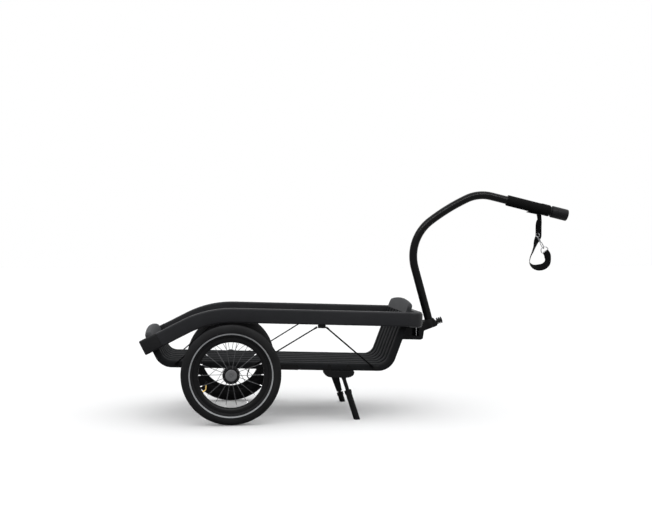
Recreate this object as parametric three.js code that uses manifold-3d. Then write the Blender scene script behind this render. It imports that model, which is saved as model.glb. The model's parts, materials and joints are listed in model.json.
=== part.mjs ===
// Cargo bike trailer: a ribbed tray between two bent side rails, on two 16 inch wheels and a folding stand,
// with a swan neck hitch arm. Millimetres, +X forward to the hitch, +Y left, +Z up, floor at z = 0.

import * as THREE from 'three';
import { mergeVertices } from 'three/addons/utils/BufferGeometryUtils.js';
import Module from 'manifold-3d';

const wasm = await Module();
wasm.setup();

const { degToRad } = THREE.MathUtils;

// Clearances: between pieces that touch, round pieces that turn or slide, and the overrun of every cut
const seatGap = 0.3;
const runGap = 0.6;
const cutOverrun = 3;

// Wheels
const tyreRadius = 202.5;
const tyreWidth = 50;
const treadWidth = 12;
const tyreShoulderDrop = 9.5;
const tyreWall = 5;
const wheelSides = 40;
const wheelClearance = 36;
const tyreHeight = 50;
const rimDepth = 20.5;
const rimWidth = 25;
const rimWellWidth = 14;
const rimWellDepth = 7.5;
const spokeRadius = 1.2;
const spokesPerFlange = 9;
const nippleRadius = 2.6;
const nippleLength = 9;
const flangeRadius = 35;
const flangeThickness = 3;
const flangeSpread = 34;
const hubRadius = 17;
const hubOverhang = 2;
const hubSides = 20;
const capRadius = 23.5;
const capThickness = 4.7;
const capEdge = 2;
const valveRadius = 3.2;
const valveStemLength = 15;
const valveTipLength = 36;
const valveBend = degToRad(58);
const valveAngles = { right: degToRad(210), left: degToRad(310) };

// Axle beam, wheel pins and their push buttons
const beamRadius = 14.4;
const beamEndGap = 6;
const pinRadius = 6.3;
const pinGrip = 60;
const buttonRadius = 5.6;
const buttonStemRadius = 3;
const buttonStemLength = 10;
const buttonHeadLength = 3.6;
const buttonTravel = 3;

// Chassis stance: nose down about the axle
const pitch = degToRad(1.7);

// Tray
const memberWidth = 46;
const memberGap = 22.7;
const slatCount = 5;
const trayThickness = 28.5;
const trayEdge = 3;
const traySideEdge = 9;
const trayBendRadius = 76;
const bendSteps = 5;
const floorBottom = 14.7;
const floorStart = -242;
const floorLength = 852;
const rearLean = degToRad(28);
const frontLean = degToRad(19);
const rearWallLength = 71.7;
const frontWallLength = 196;
const archCorner = 17;
const archSteps = 12;
const frontHeader = { crown: 58, end: 42.5, step: 8, taper: 20, plate: 19, toe: 15 };
const rearHeader = { crown: 48, end: 32, step: 6, taper: 16, plate: 28, toe: 22 };

// Side rails, their end caps and corners, and the cross rails
const railWidth = 30;
const railHeight = 60;
const railCorner = 7;
const railWall = 3;
const railClearance = 4.9;
const railTop = 264.7;
const railBendStart = 8;
const railBendRadius = 422;
const railBend = degToRad(28.5);
const railTail = 113;
const endCapLength = 77;
const endCapLip = 1;
const spigotLength = 30;
const cornerRadius = 50;
const frontReach = 61.8;
const cornerRun = 12;
const cornerDrop = 4;
const rearTubeRadius = 12.5;

// Brace cables, with the clips under the rail and on the side member
const cableRadius = 2.5;
const ferruleRadius = 4.2;
const ferruleLength = 16;
const cableSides = 8;
const clipLength = 32;
const clipHeight = 14;
const clipWidth = 16;
const clipCentre = 367;
const anchorLength = 22;
const anchorHeight = 16;
const anchorWidth = 10;
const anchorSetback = 9;
const ferruleSeatShare = 0.7;
const rearAnchorX = 96;
const rearAnchorRise = 17.3;
const tailAnchorX = -228;
const tailAnchorRise = 14.3;
const tailTopX = -52;

// Stand
const standSetback = 156;
const standPivotAhead = 13;
const standPivotDrop = 8;
const standBlockLength = 126;
const standBlockHeight = 27.4;
const standCornerRun = 34;
const standCornerRise = 20;
const standBlockWidth = 34;
const standBridgeLength = 60;
const standBridgeHeight = 14;
const standPinRadius = 6;
const standCheek = 4;
const legThickness = 16.4;
const legTubeRadius = 8;
const legTubeLength = 165;
const legs = {
  right: { eye: 11, plateLength: 30, plateEnd: 8, sleeveStart: 77, lean: degToRad(17.8) },
  left: { eye: 24, plateLength: 152, plateEnd: 12, sleeveStart: 158, lean: degToRad(16.5) },
};
const sleeveRadius = 13;
const sleeveCollarRadius = 15;
const sleeveCollarLength = 14;

// Hitch: receiver under the front cross rail, foot casting and lock knob
const receiverLength = 94;
const receiverDepth = 73;
const receiverWidth = 60;
const receiverSetback = 47;
const receiverNose = [[14, 0], [7, 3], [3.5, 11], [0, 42]];
const windowLength = 31;
const windowHeight = 40;
const windowSetback = 23;
const windowFloor = 16;
const windowWall = 4;
const windowPinRadius = 3;
const windowPinAhead = 9.5;
const armFootAhead = 73.6;
const armFootDrop = 51.7;
const armLean = degToRad(17);
const castingRadius = 22.5;
const castingBelow = 28;
const castingAbove = 8;
const castingFloor = 8;
const wedgeWidth = 42;
const wedgeRise = 2;
const wedgeDrop = 43;
const wedgeNose = [[33, -19], [35.4, -8], [16.4, 14]];
const knobRadius = 14.5;
const knobLength = 22;
const knobSetback = 34;
const knobDrop = 10;
const knobRibs = 3;
const knobGroove = 2;
const plungerRadius = 4;

// Arm: a leg, three bends and a top run, with a grip sleeve and the coupling socket
const armRadius = 17.75;
const armWall = 2;
const armSides = 16;
const armLegLength = 263.7;
const armBendRadius = 195;
const armBend = degToRad(68);
const armBackRadius = 911;
const armBackBend = degToRad(12);
const armCrownRadius = 170;
const armCrownBend = degToRad(38.9);
const armTopLength = 270;
const gripLength = 199;
const gripOverhang = 2.3;
const gripRadius = 24.25;
const gripEdge = 2.5;
const gripBandLength = 41;
const gripBandRise = 1.5;
const socketRadius = 26.5;
const socketLength = 76;
const socketGap = 8;
const socketNeckRadius = 15;
const socketNeckLength = 24;
const socketCollarRadius = 20;
const socketBore = 15;
const socketDepth = 38;
const socketEdge = 3;

// Safety strap: one ribbon of webbing that hangs from the grip and loops up to a D ring, with a round ring
// held on it and a snap hook between the two rings
const strapSetback = 45;
const ringDrop = 96;
const webbingWidth = 30;
const webbingThickness = 2.4;
const webbingSplits = 3;
const ringTurn = degToRad(-45);
const ringRadius = 8.5;
const ringWire = 1.6;
const keeperRadius = 7.2;
const keeperWire = 1.1;
const hookWire = 1.9;
const hookEyeRadius = 4.8;
const hookLength = 57;
const hookWidth = 15;
const hookMouth = 20;
const barrelRadius = 4;
const barrelLength = 18;
const gateWire = 1.6;
const hookLean = degToRad(28);
const dRingRadius = 16.5;
const dRingWire = 1.9;
const dRingChord = 4.2;
const dRingLean = degToRad(33.5);
const dRingSeat = 7;

// The ribbon's route as [x, y, z, turn in degrees], from the round ring's centre down and round to the D ring
const webbingRoute = [
  [6.9, 8.3, 105, 154], [10, 8.3, 71.6, 160], [7.8, 8.3, 60.2, 143], [6, 8.3, 41.1, 135],
  [6.2, 9.2, 10.7, 135], [6.1, 10.2, -4.6, 135], [3.5, 14.2, -15, 137], [0, 19, -26, 148], [-4, 20, -38, 164],
  [-8, 18, -50, 176], [-14.1, 14, -62.1, 182], [-21.3, 9, -77, 186], [-31.2, 4, -95, 192],
  [-36.8, 1, -114.1, 196], [-34.6, 0, -128.4, 204], [-23, 0, -139.5, 218], [-7.4, 0, -144.5, 236],
  [11.6, 0, -144, 258], [28.8, 0, -138.9, 262], [41.7, 0, -127.4, 240], [46.8, 0, -113.7, 222],
  [46, 0, -99.8, 236],
];
const flap = { back: 51, drop: 5.5, ahead: 6, width: 24 };

// Derived sizes
const rimRadius = tyreRadius - tyreHeight;
const rimHoleRadius = rimRadius - rimDepth;
const axleHeight = tyreRadius * Math.cos(Math.PI / wheelSides);
const memberPitch = memberWidth + memberGap;
const trayHalf = memberPitch * (slatCount + 1) / 2 + memberWidth / 2;
const railInner = trayHalf + railClearance;
const railMiddle = railInner + railWidth / 2;
const railAxis = railTop - railHeight / 2;
const railBottom = railTop - railHeight;
const bendMiddle = trayBendRadius - trayThickness / 2;
const floorMiddle = floorBottom + trayThickness / 2;
const cornerMiddle = cornerRadius - railWidth / 2;
const floorEnd = floorStart + floorLength;
const trayFront = floorEnd + bendMiddle * Math.cos(frontLean) + frontWallLength * Math.sin(frontLean);
const frontFace = trayFront + frontReach;
const anchorCentre = floorEnd - anchorSetback;
const standX = anchorCentre - standSetback;
const cornerBendX = frontFace - cornerRadius;
const cornerStart = cornerBendX - cornerRun;
const cornerBendY = railMiddle - cornerMiddle;
const crossRailX = frontFace - railWidth / 2;
const hubHalf = flangeSpread / 2 + hubOverhang;
const track = 2 * (railInner + railWidth + wheelClearance) + tyreWidth;
const standBlockTop = floorBottom - seatGap;
const standBlockBottom = standBlockTop - standBlockHeight;
const standZ = standBlockTop - standPivotDrop;
const pivotX = standX + standPivotAhead;
const armFootX = frontFace + armFootAhead;
const armFootZ = railTop - armFootDrop;
const gripStart = armTopLength + gripOverhang - gripLength;
const strapReach = armTopLength - strapSetback;

const alongY = new THREE.Vector3(0, 1, 0);
const alongZ = new THREE.Vector3(0, 0, 1);
const sides = { right: -1, left: 1 };

// Solids: a closed geometry can be joined and cut, and comes back as a geometry.
function solidOf(geometry) {
  const bare = geometry.clone();
  bare.deleteAttribute('normal');
  bare.deleteAttribute('uv');
  const merged = mergeVertices(bare);
  const mesh = new wasm.Mesh({
    numProp: 3,
    vertProperties: Float32Array.from(merged.attributes.position.array),
    triVerts: Uint32Array.from(merged.index.array),
  });
  return new wasm.Manifold(mesh);
}

function geometryOf(solid) {
  const mesh = solid.getMesh();
  const geometry = new THREE.BufferGeometry();
  geometry.setAttribute('position', new THREE.BufferAttribute(mesh.vertProperties, 3));
  geometry.setIndex(new THREE.BufferAttribute(mesh.triVerts, 1));
  return geometry;
}

function joined(...geometries) {
  const solids = geometries.map(solidOf);
  return geometryOf(solids.reduce((whole, solid) => whole.add(solid)));
}

function cut(geometry, ...tools) {
  const whole = solidOf(geometry);
  return geometryOf(tools.reduce((rest, tool) => rest.subtract(solidOf(tool)), whole));
}

// Blocks and rods
function block(x0, x1, y0, y1, z0, z1) {
  const geometry = new THREE.BoxGeometry(x1 - x0, y1 - y0, z1 - z0);
  return geometry.translate((x0 + x1) / 2, (y0 + y1) / 2, (z0 + z1) / 2);
}

function rod(radius, from, to, rodSides, endRadius = radius) {
  const start = new THREE.Vector3(...from);
  const run = new THREE.Vector3(...to).sub(start);
  const geometry = new THREE.CylinderGeometry(endRadius, radius, run.length(), rodSides);
  geometry.applyQuaternion(new THREE.Quaternion().setFromUnitVectors(alongY, run.clone().normalize()));
  return geometry.translate(...start.addScaledVector(run, 0.5).toArray());
}

// An outline of the side view, as [x, z] points, run across the width
function acrossWidth(outline, y0, y1) {
  const shape = new THREE.Shape(outline.map(([x, z]) => new THREE.Vector2(x, z)));
  const geometry = new THREE.ExtrudeGeometry(shape, { depth: y1 - y0, bevelEnabled: false });
  return geometry.rotateX(Math.PI / 2).translate(0, y1, 0);
}

// A turned piece about the Y axis, from [radius, y] points; the side says which way is outward.
function turned(profile, side, turnSides) {
  const points = profile.map(([radius, y]) => new THREE.Vector2(radius, y * side));
  if (side < 0) points.reverse();
  return new THREE.LatheGeometry(points, turnSides).rotateY(Math.PI / turnSides);
}

// Sections: a round tube, and a bar with rounded corners that may be hollow
function roundSection(radius, sectionSides, bore = 0, boreSides = sectionSides) {
  const circle = (size, count) => Array.from({ length: count }, (_, i) => {
    const angle = 2 * Math.PI * i / count;
    return new THREE.Vector2(size * Math.cos(angle), size * Math.sin(angle));
  });
  const shape = new THREE.Shape(circle(radius, sectionSides));
  if (bore > 0) shape.holes.push(new THREE.Path(circle(bore, boreSides)));
  return shape;
}

function barOutline(path, width, height, corner) {
  const x = width / 2 - corner;
  const y = height / 2 - corner;
  const quarter = Math.PI / 2;
  path.absarc(x, y, corner, 0, quarter);
  path.absarc(-x, y, corner, quarter, 2 * quarter);
  path.absarc(-x, -y, corner, 2 * quarter, 3 * quarter);
  path.absarc(x, -y, corner, 3 * quarter, 4 * quarter);
  return path;
}

function barSection(width, height, corner, wall = 0) {
  const shape = barOutline(new THREE.Shape(), width, height, corner);
  if (wall > 0) {
    shape.holes.push(barOutline(new THREE.Path(), width - 2 * wall, height - 2 * wall, corner - wall));
  }
  return shape;
}

// A path through its own stations: the section's x axis keeps one direction, or has its own at each station.
class StationPath extends THREE.Curve {
  constructor(stations, across) {
    super();
    this.stations = stations;
    this.across = across;
  }

  getSpacedPoints() {
    return this.stations;
  }

  computeFrenetFrames() {
    const last = this.stations.length - 1;
    const step = (i) => this.stations[i + 1].clone().sub(this.stations[i]).normalize();
    const tangents = this.stations.map((station, i) => {
      return step(Math.max(i - 1, 0)).add(step(Math.min(i, last - 1))).normalize();
    });
    const normals = tangents.map((_, i) => (this.across[i] ?? this.across).clone());
    const binormals = tangents.map((tangent, i) => new THREE.Vector3().crossVectors(tangent, normals[i]));
    return { tangents, normals, binormals };
  }
}

function swept(section, stations, across = alongY) {
  const extrudePath = new StationPath(stations, across);
  return new THREE.ExtrudeGeometry(section, { steps: stations.length - 1, curveSegments: 1, extrudePath });
}

// A run in the side view: straights and bends from a start point, with the heading above the +X axis.
function sideRun(x, z, heading, pieces, y = 0) {
  const stations = [new THREE.Vector3(x, y, z)];
  const forward = (length) => {
    x += length * Math.cos(heading);
    z += length * Math.sin(heading);
    stations.push(new THREE.Vector3(x, y, z));
  };
  for (const { length, radius, turn, steps } of pieces) {
    if (length) forward(length);
    for (let i = 0; radius && i < steps; i += 1) {
      heading += turn / steps / 2;
      forward(2 * radius * Math.sin(Math.abs(turn) / steps / 2));
      heading += turn / steps / 2;
    }
  }
  return { stations, end: stations[stations.length - 1], heading };
}

// Groups: the whole part on the floor, the leaning chassis, and the level groups on it
const trailer = new THREE.Group();
const standing = new THREE.Group();
const chassis = new THREE.Group();
trailer.add(standing);
standing.add(chassis);
chassis.rotation.y = pitch;

function piece(group, name, geometry, look) {
  const mesh = new THREE.Mesh(geometry, new THREE.MeshStandardMaterial(look));
  mesh.name = name;
  group.add(mesh);
  return mesh;
}

function levelGroup(x, z) {
  const group = new THREE.Group();
  group.position.set(x, 0, z);
  group.rotation.y = -pitch;
  chassis.add(group);
  return group;
}

// The height above the floor of a point of the chassis
function floorHeight(x, z) {
  return axleHeight - x * Math.sin(pitch) + z * Math.cos(pitch);
}

const looks = {
  rail: { color: 0x303134, roughness: 0.5, metalness: 0.4 },
  cap: { color: 0x232426, roughness: 0.7, metalness: 0 },
  casting: { color: 0x2a2b2d, roughness: 0.55, metalness: 0.3 },
  tray: { color: 0x3d3f41, roughness: 0.75, metalness: 0 },
  cable: { color: 0x141415, roughness: 0.6, metalness: 0 },
  tyre: { color: 0x202123, roughness: 0.9, metalness: 0 },
  rim: { color: 0x151516, roughness: 0.4, metalness: 0.6 },
  grey: { color: 0x636466, roughness: 0.5, metalness: 0.2 },
  steel: { color: 0xb4b6b8, roughness: 0.3, metalness: 1 },
  brass: { color: 0xb08b3a, roughness: 0.35, metalness: 1 },
  arm: { color: 0x161718, roughness: 0.35, metalness: 0.4 },
  grip: { color: 0x101011, roughness: 0.85, metalness: 0 },
  webbing: { color: 0x121213, roughness: 0.95, metalness: 0 },
};

// Side rails: straight from the front corner, then bent down to the rear, with an end cap plugged in
const tailX = railBendStart - railBendRadius * Math.sin(railBend) - railTail * Math.cos(railBend);
const tailZ = railAxis - railBendRadius * (1 - Math.cos(railBend)) - railTail * Math.sin(railBend);
const capEndX = tailX - endCapLength * Math.cos(railBend);
const capEndZ = tailZ - endCapLength * Math.sin(railBend);

function sideRail(side) {
  const run = sideRun(tailX, tailZ, railBend, [
    { length: railTail },
    { radius: railBendRadius, turn: -railBend, steps: bendSteps },
    { length: cornerStart - seatGap - railBendStart },
  ], side * railMiddle);
  return swept(barSection(railWidth, railHeight, railCorner, railWall), run.stations);
}

function spigotSection() {
  const inside = 2 * (railWall + seatGap);
  return barSection(railWidth - inside, railHeight - inside, railCorner - railWall);
}

function endCap(side) {
  const sleeve = sideRun(capEndX, capEndZ, railBend, [{ length: endCapLength - seatGap }], side * railMiddle);
  const spigotReach = endCapLength + spigotLength;
  const spigot = sideRun(capEndX, capEndZ, railBend, [{ length: spigotReach }], side * railMiddle);
  const lip = 2 * endCapLip;
  return joined(
    swept(barSection(railWidth + lip, railHeight + lip, railCorner + endCapLip), sleeve.stations),
    swept(spigotSection(), spigot.stations),
  );
}

// Front corners: a quarter bend in plan, a little deeper than the rails, plugged into rail and cross rail
function frontCorner(side) {
  const middleZ = railAxis - cornerDrop / 2;
  const stations = [new THREE.Vector3(cornerStart, side * railMiddle, middleZ)];
  for (let i = 0; i <= bendSteps; i += 1) {
    const angle = Math.PI / 2 * i / bendSteps;
    const x = cornerBendX + cornerMiddle * Math.sin(angle);
    const y = side * (cornerBendY + cornerMiddle * Math.cos(angle));
    stations.push(new THREE.Vector3(x, y, middleZ));
  }
  stations.push(new THREE.Vector3(crossRailX, side * (cornerBendY - cornerRun), middleZ));
  const railPlug = [cornerStart - spigotLength, cornerBendX].map((x) => {
    return new THREE.Vector3(x, side * railMiddle, railAxis);
  });
  const crossPlug = [cornerBendY, cornerBendY - cornerRun - spigotLength].map((y) => {
    return new THREE.Vector3(crossRailX, side * y, railAxis);
  });
  const upright = new THREE.Shape(spigotSection().getPoints(1).map(({ x, y }) => new THREE.Vector2(y, x)));
  return joined(
    swept(barSection(railHeight + cornerDrop, railWidth, railCorner), stations, alongZ),
    swept(spigotSection(), railPlug),
    swept(upright, crossPlug, alongZ),
  );
}

function crossRail() {
  const half = cornerBendY - cornerRun - seatGap;
  const stations = [-half, half].map((y) => new THREE.Vector3(crossRailX, y, railAxis));
  return swept(barSection(railHeight, railWidth, railCorner, railWall), stations, alongZ);
}

for (const [name, side] of Object.entries(sides)) {
  piece(chassis, `side_rail_${name}`, sideRail(side), looks.rail);
  piece(chassis, `rear_end_cap_${name}`, endCap(side), looks.cap);
  piece(chassis, `front_corner_${name}`, frontCorner(side), looks.casting);
}
piece(chassis, 'front_cross_rail', crossRail(), looks.rail);

// Tray members: down the rear wall, along the floor and up the front wall
const trayRun = sideRun(
  floorStart - bendMiddle * Math.cos(rearLean) - rearWallLength * Math.sin(rearLean),
  floorMiddle + bendMiddle * (1 - Math.sin(rearLean)) + rearWallLength * Math.cos(rearLean),
  rearLean - Math.PI / 2,
  [
    { length: rearWallLength },
    { radius: bendMiddle, turn: Math.PI / 2 - rearLean, steps: bendSteps },
    { length: floorLength },
    { radius: bendMiddle, turn: Math.PI / 2 - frontLean, steps: bendSteps },
    { length: frontWallLength },
  ],
);

// The section of a member: every edge is broken, the outer top edge of a side member by more.
function memberSection(outerSide) {
  const x = memberWidth / 2;
  const y = trayThickness / 2;
  const left = outerSide < 0 ? traySideEdge : trayEdge;
  const right = outerSide > 0 ? traySideEdge : trayEdge;
  return new THREE.Shape([
    [-x, -y + trayEdge], [-x + trayEdge, -y], [x - trayEdge, -y], [x, -y + trayEdge],
    [x, y - right], [x - right, y], [-x + left, y], [-x, y - left],
  ].map(([u, v]) => new THREE.Vector2(u, v)));
}

function trayMember(index, outerSide) {
  const stations = trayRun.stations.map(({ x, z }) => new THREE.Vector3(x, index * memberPitch, z));
  return swept(memberSection(outerSide), stations);
}

for (let i = 0; i < slatCount; i += 1) {
  piece(chassis, `tray_slat_${i + 1}`, trayMember(i - (slatCount - 1) / 2, 0), looks.tray);
}
for (const [name, side] of Object.entries(sides)) {
  piece(chassis, `tray_side_${name}`, trayMember(side * (slatCount + 1) / 2, side), looks.tray);
}

// Headers: arched plates that close the walls above the slots, thinner than the members
function headerPlate({ crown, end, step, taper, plate, toe }, outward) {
  const half = trayThickness / 2;
  const profile = [
    [-half * outward, seatGap], [half * outward, seatGap], [half * outward, step],
    [(plate - half) * outward, taper], [(plate - half) * outward, crown + cutOverrun],
    [-(half - (outward < 0 ? trayEdge : 0)) * outward, crown + cutOverrun],
  ];
  const ordered = outward < 0 ? profile.reverse() : profile;
  const sagitta = crown - end;
  const radius = (trayHalf * trayHalf + sagitta * sagitta) / (2 * sagitta);
  const top = (y) => crown - radius + Math.sqrt(radius * radius - y * y);
  const outline = [[-trayHalf, -cutOverrun], [trayHalf, -cutOverrun]];
  const inner = trayHalf - archCorner;
  for (let i = 0; i <= 3; i += 1) {
    const angle = Math.PI / 2 * i / 3;
    outline.push([
      inner + archCorner * Math.cos(angle),
      top(inner) - archCorner * (1 - Math.sin(angle)),
    ]);
  }
  for (let i = 1; i < archSteps; i += 1) {
    const y = inner * (1 - 2 * i / archSteps);
    outline.push([y, top(y)]);
  }
  for (let i = 3; i >= 0; i -= 1) {
    const angle = Math.PI / 2 * i / 3;
    outline.push([
      -inner - archCorner * Math.cos(angle),
      top(inner) - archCorner * (1 - Math.sin(angle)),
    ]);
  }
  const arch = new THREE.ExtrudeGeometry(
    new THREE.Shape(outline.map(([y, z]) => new THREE.Vector2(y, z))),
    { depth: 2 * toe, bevelEnabled: false },
  );
  const turn = new THREE.Matrix4().makeBasis(alongY, alongZ, new THREE.Vector3(1, 0, 0));
  arch.applyMatrix4(turn).translate(-toe, 0, 0);
  return geometryOf(solidOf(acrossWidth(ordered, -trayHalf, trayHalf)).intersect(solidOf(arch)));
}

const front = piece(chassis, 'tray_front_header', headerPlate(frontHeader, 1), looks.tray);
front.position.copy(trayRun.end);
front.rotation.y = frontLean;
const rear = piece(chassis, 'tray_rear_header', headerPlate(rearHeader, -1), looks.tray);
rear.position.copy(trayRun.stations[0]);
rear.rotation.y = -rearLean;

// Rear cross tube: between the end caps, against the back of the rear wall
const wallOut = new THREE.Vector3(-Math.cos(rearLean), 0, -Math.sin(rearLean));
const tailWay = new THREE.Vector3(Math.cos(railBend), 0, Math.sin(railBend));
const capEnd = new THREE.Vector3(capEndX, 0, capEndZ);
const wallReach = trayThickness / 2 + rearTubeRadius + seatGap;
const fromCap = (wallReach + trayRun.stations[0].clone().sub(capEnd).dot(wallOut)) / tailWay.dot(wallOut);
const rearTube = capEnd.clone().addScaledVector(tailWay, fromCap);
const rearTubeHalf = railInner - endCapLip - seatGap;
piece(
  chassis,
  'rear_cross_tube',
  rod(
    rearTubeRadius,
    [rearTube.x, -rearTubeHalf, rearTube.z],
    [rearTube.x, rearTubeHalf, rearTube.z],
    armSides,
  ),
  looks.rail,
);

// Brace cables: taut, with a ferrule at each end
function cable(from, to) {
  const run = new THREE.Vector3(...to).sub(new THREE.Vector3(...from)).setLength(ferruleLength);
  const fromInner = new THREE.Vector3(...from).add(run).toArray();
  const toInner = new THREE.Vector3(...to).sub(run).toArray();
  return joined(
    rod(cableRadius, from, to, cableSides),
    rod(ferruleRadius, from, fromInner, cableSides),
    rod(ferruleRadius, toInner, to, cableSides),
  );
}

const clipZ = railBottom - seatGap - clipHeight / 2;
const besideTray = trayHalf + seatGap + ferruleRadius;
const anchorZ = floorBottom + trayThickness / 2;
for (const [name, side] of Object.entries(sides)) {
  const clipX = [clipCentre - clipLength / 2, clipCentre + clipLength / 2];
  const rail = side * railMiddle;
  const tray = side * besideTray;
  piece(
    chassis,
    `rail_clip_${name}`,
    block(
      ...clipX,
      rail - clipWidth / 2, rail + clipWidth / 2,
      clipZ - clipHeight / 2, clipZ + clipHeight / 2,
    ),
    looks.cap,
  );
  const inner = side * (trayHalf + seatGap);
  const outer = side * (trayHalf + seatGap + anchorWidth);
  piece(
    chassis,
    `tray_anchor_${name}`,
    block(
      anchorCentre - anchorLength / 2, anchorCentre + anchorLength / 2,
      Math.min(inner, outer), Math.max(inner, outer),
      anchorZ - anchorHeight / 2, anchorZ + anchorHeight / 2,
    ),
    looks.cap,
  );
  const ferruleSeat = ferruleSeatShare * ferruleRadius;
  const frontTop = [clipX[1] + ferruleSeat, rail, clipZ - cableRadius];
  const frontLow = [anchorCentre - anchorLength / 2 - ferruleRadius, tray, anchorZ + ferruleRadius];
  const rearTop = [clipX[0] - ferruleSeat, rail, clipZ - cableRadius];
  const rearLow = [rearAnchorX, tray, floorBottom + rearAnchorRise];
  const tailTop = [tailTopX, rail, railBottom - 3 * ferruleRadius];
  const tailLow = [tailAnchorX, tray, floorBottom + tailAnchorRise];
  piece(chassis, `brace_cable_front_${name}`, cable(frontTop, frontLow), looks.cable);
  piece(chassis, `brace_cable_middle_${name}`, cable(rearTop, rearLow), looks.cable);
  piece(chassis, `brace_cable_rear_${name}`, cable(tailTop, tailLow), looks.cable);
}

// Axle beam under the floor, with the wheel pins in its ends and a push button in each pin
const beamHalf = track / 2 - hubHalf - beamEndGap;
const pinBore = pinRadius + seatGap;
function beam() {
  const tube = rod(beamRadius, [0, -beamHalf, 0], [0, beamHalf, 0], hubSides);
  const bores = [-1, 1].map((side) => {
    const inner = side * (beamHalf - pinGrip - runGap);
    return rod(pinBore, [0, inner, 0], [0, side * (beamHalf + cutOverrun), 0], hubSides);
  });
  return cut(tube, ...bores);
}
piece(chassis, 'axle_beam', beam(), looks.casting);

for (const [name, side] of Object.entries(sides)) {
  const pinEnd = track / 2 + hubHalf;
  const buttonBore = buttonStemLength + buttonTravel + runGap;
  const pin = rod(pinRadius, [0, side * (beamHalf - pinGrip), 0], [0, side * pinEnd, 0], hubSides);
  const bore = rod(
    buttonStemRadius + runGap,
    [0, side * (pinEnd - buttonBore), 0],
    [0, side * (pinEnd + cutOverrun), 0],
    hubSides,
  );
  piece(chassis, `axle_pin_${name}`, cut(pin, bore), looks.steel);
  const headStart = pinEnd + buttonTravel + seatGap;
  piece(
    chassis,
    `axle_button_${name}`,
    joined(
      rod(buttonRadius, [0, side * headStart, 0], [0, side * (headStart + buttonHeadLength), 0], hubSides),
      rod(
        buttonStemRadius,
        [0, side * (pinEnd - buttonStemLength), 0],
        [0, side * (headStart + seatGap), 0],
        hubSides,
      ),
    ),
    looks.grey,
  );
}

// Wheels: tyre, rim, two flanges with their spokes, hub cap and valve
function tyre() {
  const half = tyreWidth / 2;
  const bead = rimRadius + seatGap;
  const beadOut = rimWidth / 2 + tyreWall / 2;
  const beadIn = rimWidth / 2 - tyreWall / 2;
  const shoulder = tyreRadius - tyreShoulderDrop;
  const belly = (bead + shoulder) / 2;
  const outside = [
    [bead, -beadOut], [belly, -half], [shoulder, -half + tyreWall], [tyreRadius, -treadWidth / 2],
    [tyreRadius, treadWidth / 2], [shoulder, half - tyreWall], [belly, half], [bead, beadOut],
  ];
  const inside = [
    [bead, beadIn], [belly, half - tyreWall], [tyreRadius - tyreWall, 0],
    [belly, tyreWall - half], [bead, -beadIn],
  ];
  const profile = [...outside, ...inside, outside[0]];
  return turned(profile, 1, wheelSides);
}

function rim() {
  const half = rimWidth / 2;
  const well = rimWellWidth / 2;
  const wellRadius = rimRadius - rimWellDepth;
  const bedRadius = rimHoleRadius + rimWellDepth;
  const profile = [
    [rimHoleRadius, -well], [bedRadius, -half], [rimRadius, -half], [rimRadius, -half + rimWellDepth / 2],
    [wellRadius, -well], [wellRadius, well], [rimRadius, half - rimWellDepth / 2], [rimRadius, half],
    [bedRadius, half], [rimHoleRadius, well], [rimHoleRadius, -well],
  ];
  return turned(profile, 1, wheelSides);
}

function spokeSet(outward, startAngle) {
  const flangeY = outward * (flangeSpread - flangeThickness) / 2;
  const spokes = [];
  for (let i = 0; i < spokesPerFlange; i += 1) {
    const angle = startAngle + 2 * Math.PI * i / spokesPerFlange;
    const at = (radius, y) => [radius * Math.cos(angle), y, radius * Math.sin(angle)];
    const tilt = flangeSpread / 2 / (rimHoleRadius - flangeRadius);
    const tip = rimHoleRadius * Math.cos(Math.PI / wheelSides) - seatGap - nippleRadius * tilt;
    const tipY = outward * spokeRadius;
    const nippleY = tipY + (flangeY - tipY) * nippleLength / (tip - flangeRadius);
    const foot = at(flangeRadius - flangeThickness, flangeY);
    spokes.push(rod(spokeRadius, foot, at(tip - spokeRadius, tipY), 5));
    spokes.push(rod(nippleRadius, at(tip - nippleLength, nippleY), at(tip, tipY), 5));
  }
  return spokes;
}

// The outer flange is a disc on the hub, and the inner one is part of the hub's barrel.
const hubBore = pinRadius + runGap;
const flangeIn = flangeSpread / 2 - flangeThickness;
function hub(side) {
  const profile = [
    [hubBore, -hubHalf], [hubRadius, -hubHalf], [hubRadius, -flangeIn - flangeThickness],
    [flangeRadius, -flangeIn - flangeThickness], [flangeRadius, -flangeIn], [hubRadius, -flangeIn],
    [hubRadius, hubHalf], [hubBore, hubHalf], [hubBore, -hubHalf],
  ];
  return joined(turned(profile, side, hubSides), ...spokeSet(-side, Math.PI / spokesPerFlange));
}

function outerFlange(side) {
  const inner = (hubRadius + seatGap) / Math.cos(Math.PI / hubSides);
  const profile = [
    [inner, flangeIn], [flangeRadius, flangeIn], [flangeRadius, flangeIn + flangeThickness],
    [inner, flangeIn + flangeThickness], [inner, flangeIn],
  ];
  return joined(turned(profile, side, hubSides), ...spokeSet(side, 0));
}

function hubCap(side) {
  const hole = (buttonRadius + runGap) / Math.cos(Math.PI / hubSides);
  const start = hubHalf + seatGap;
  const end = start + capThickness;
  const profile = [
    [hole, start], [capRadius, start], [capRadius, end - capEdge], [capRadius - capEdge, end],
    [hole, end], [hole, start],
  ];
  return turned(profile, side, hubSides);
}

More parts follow.
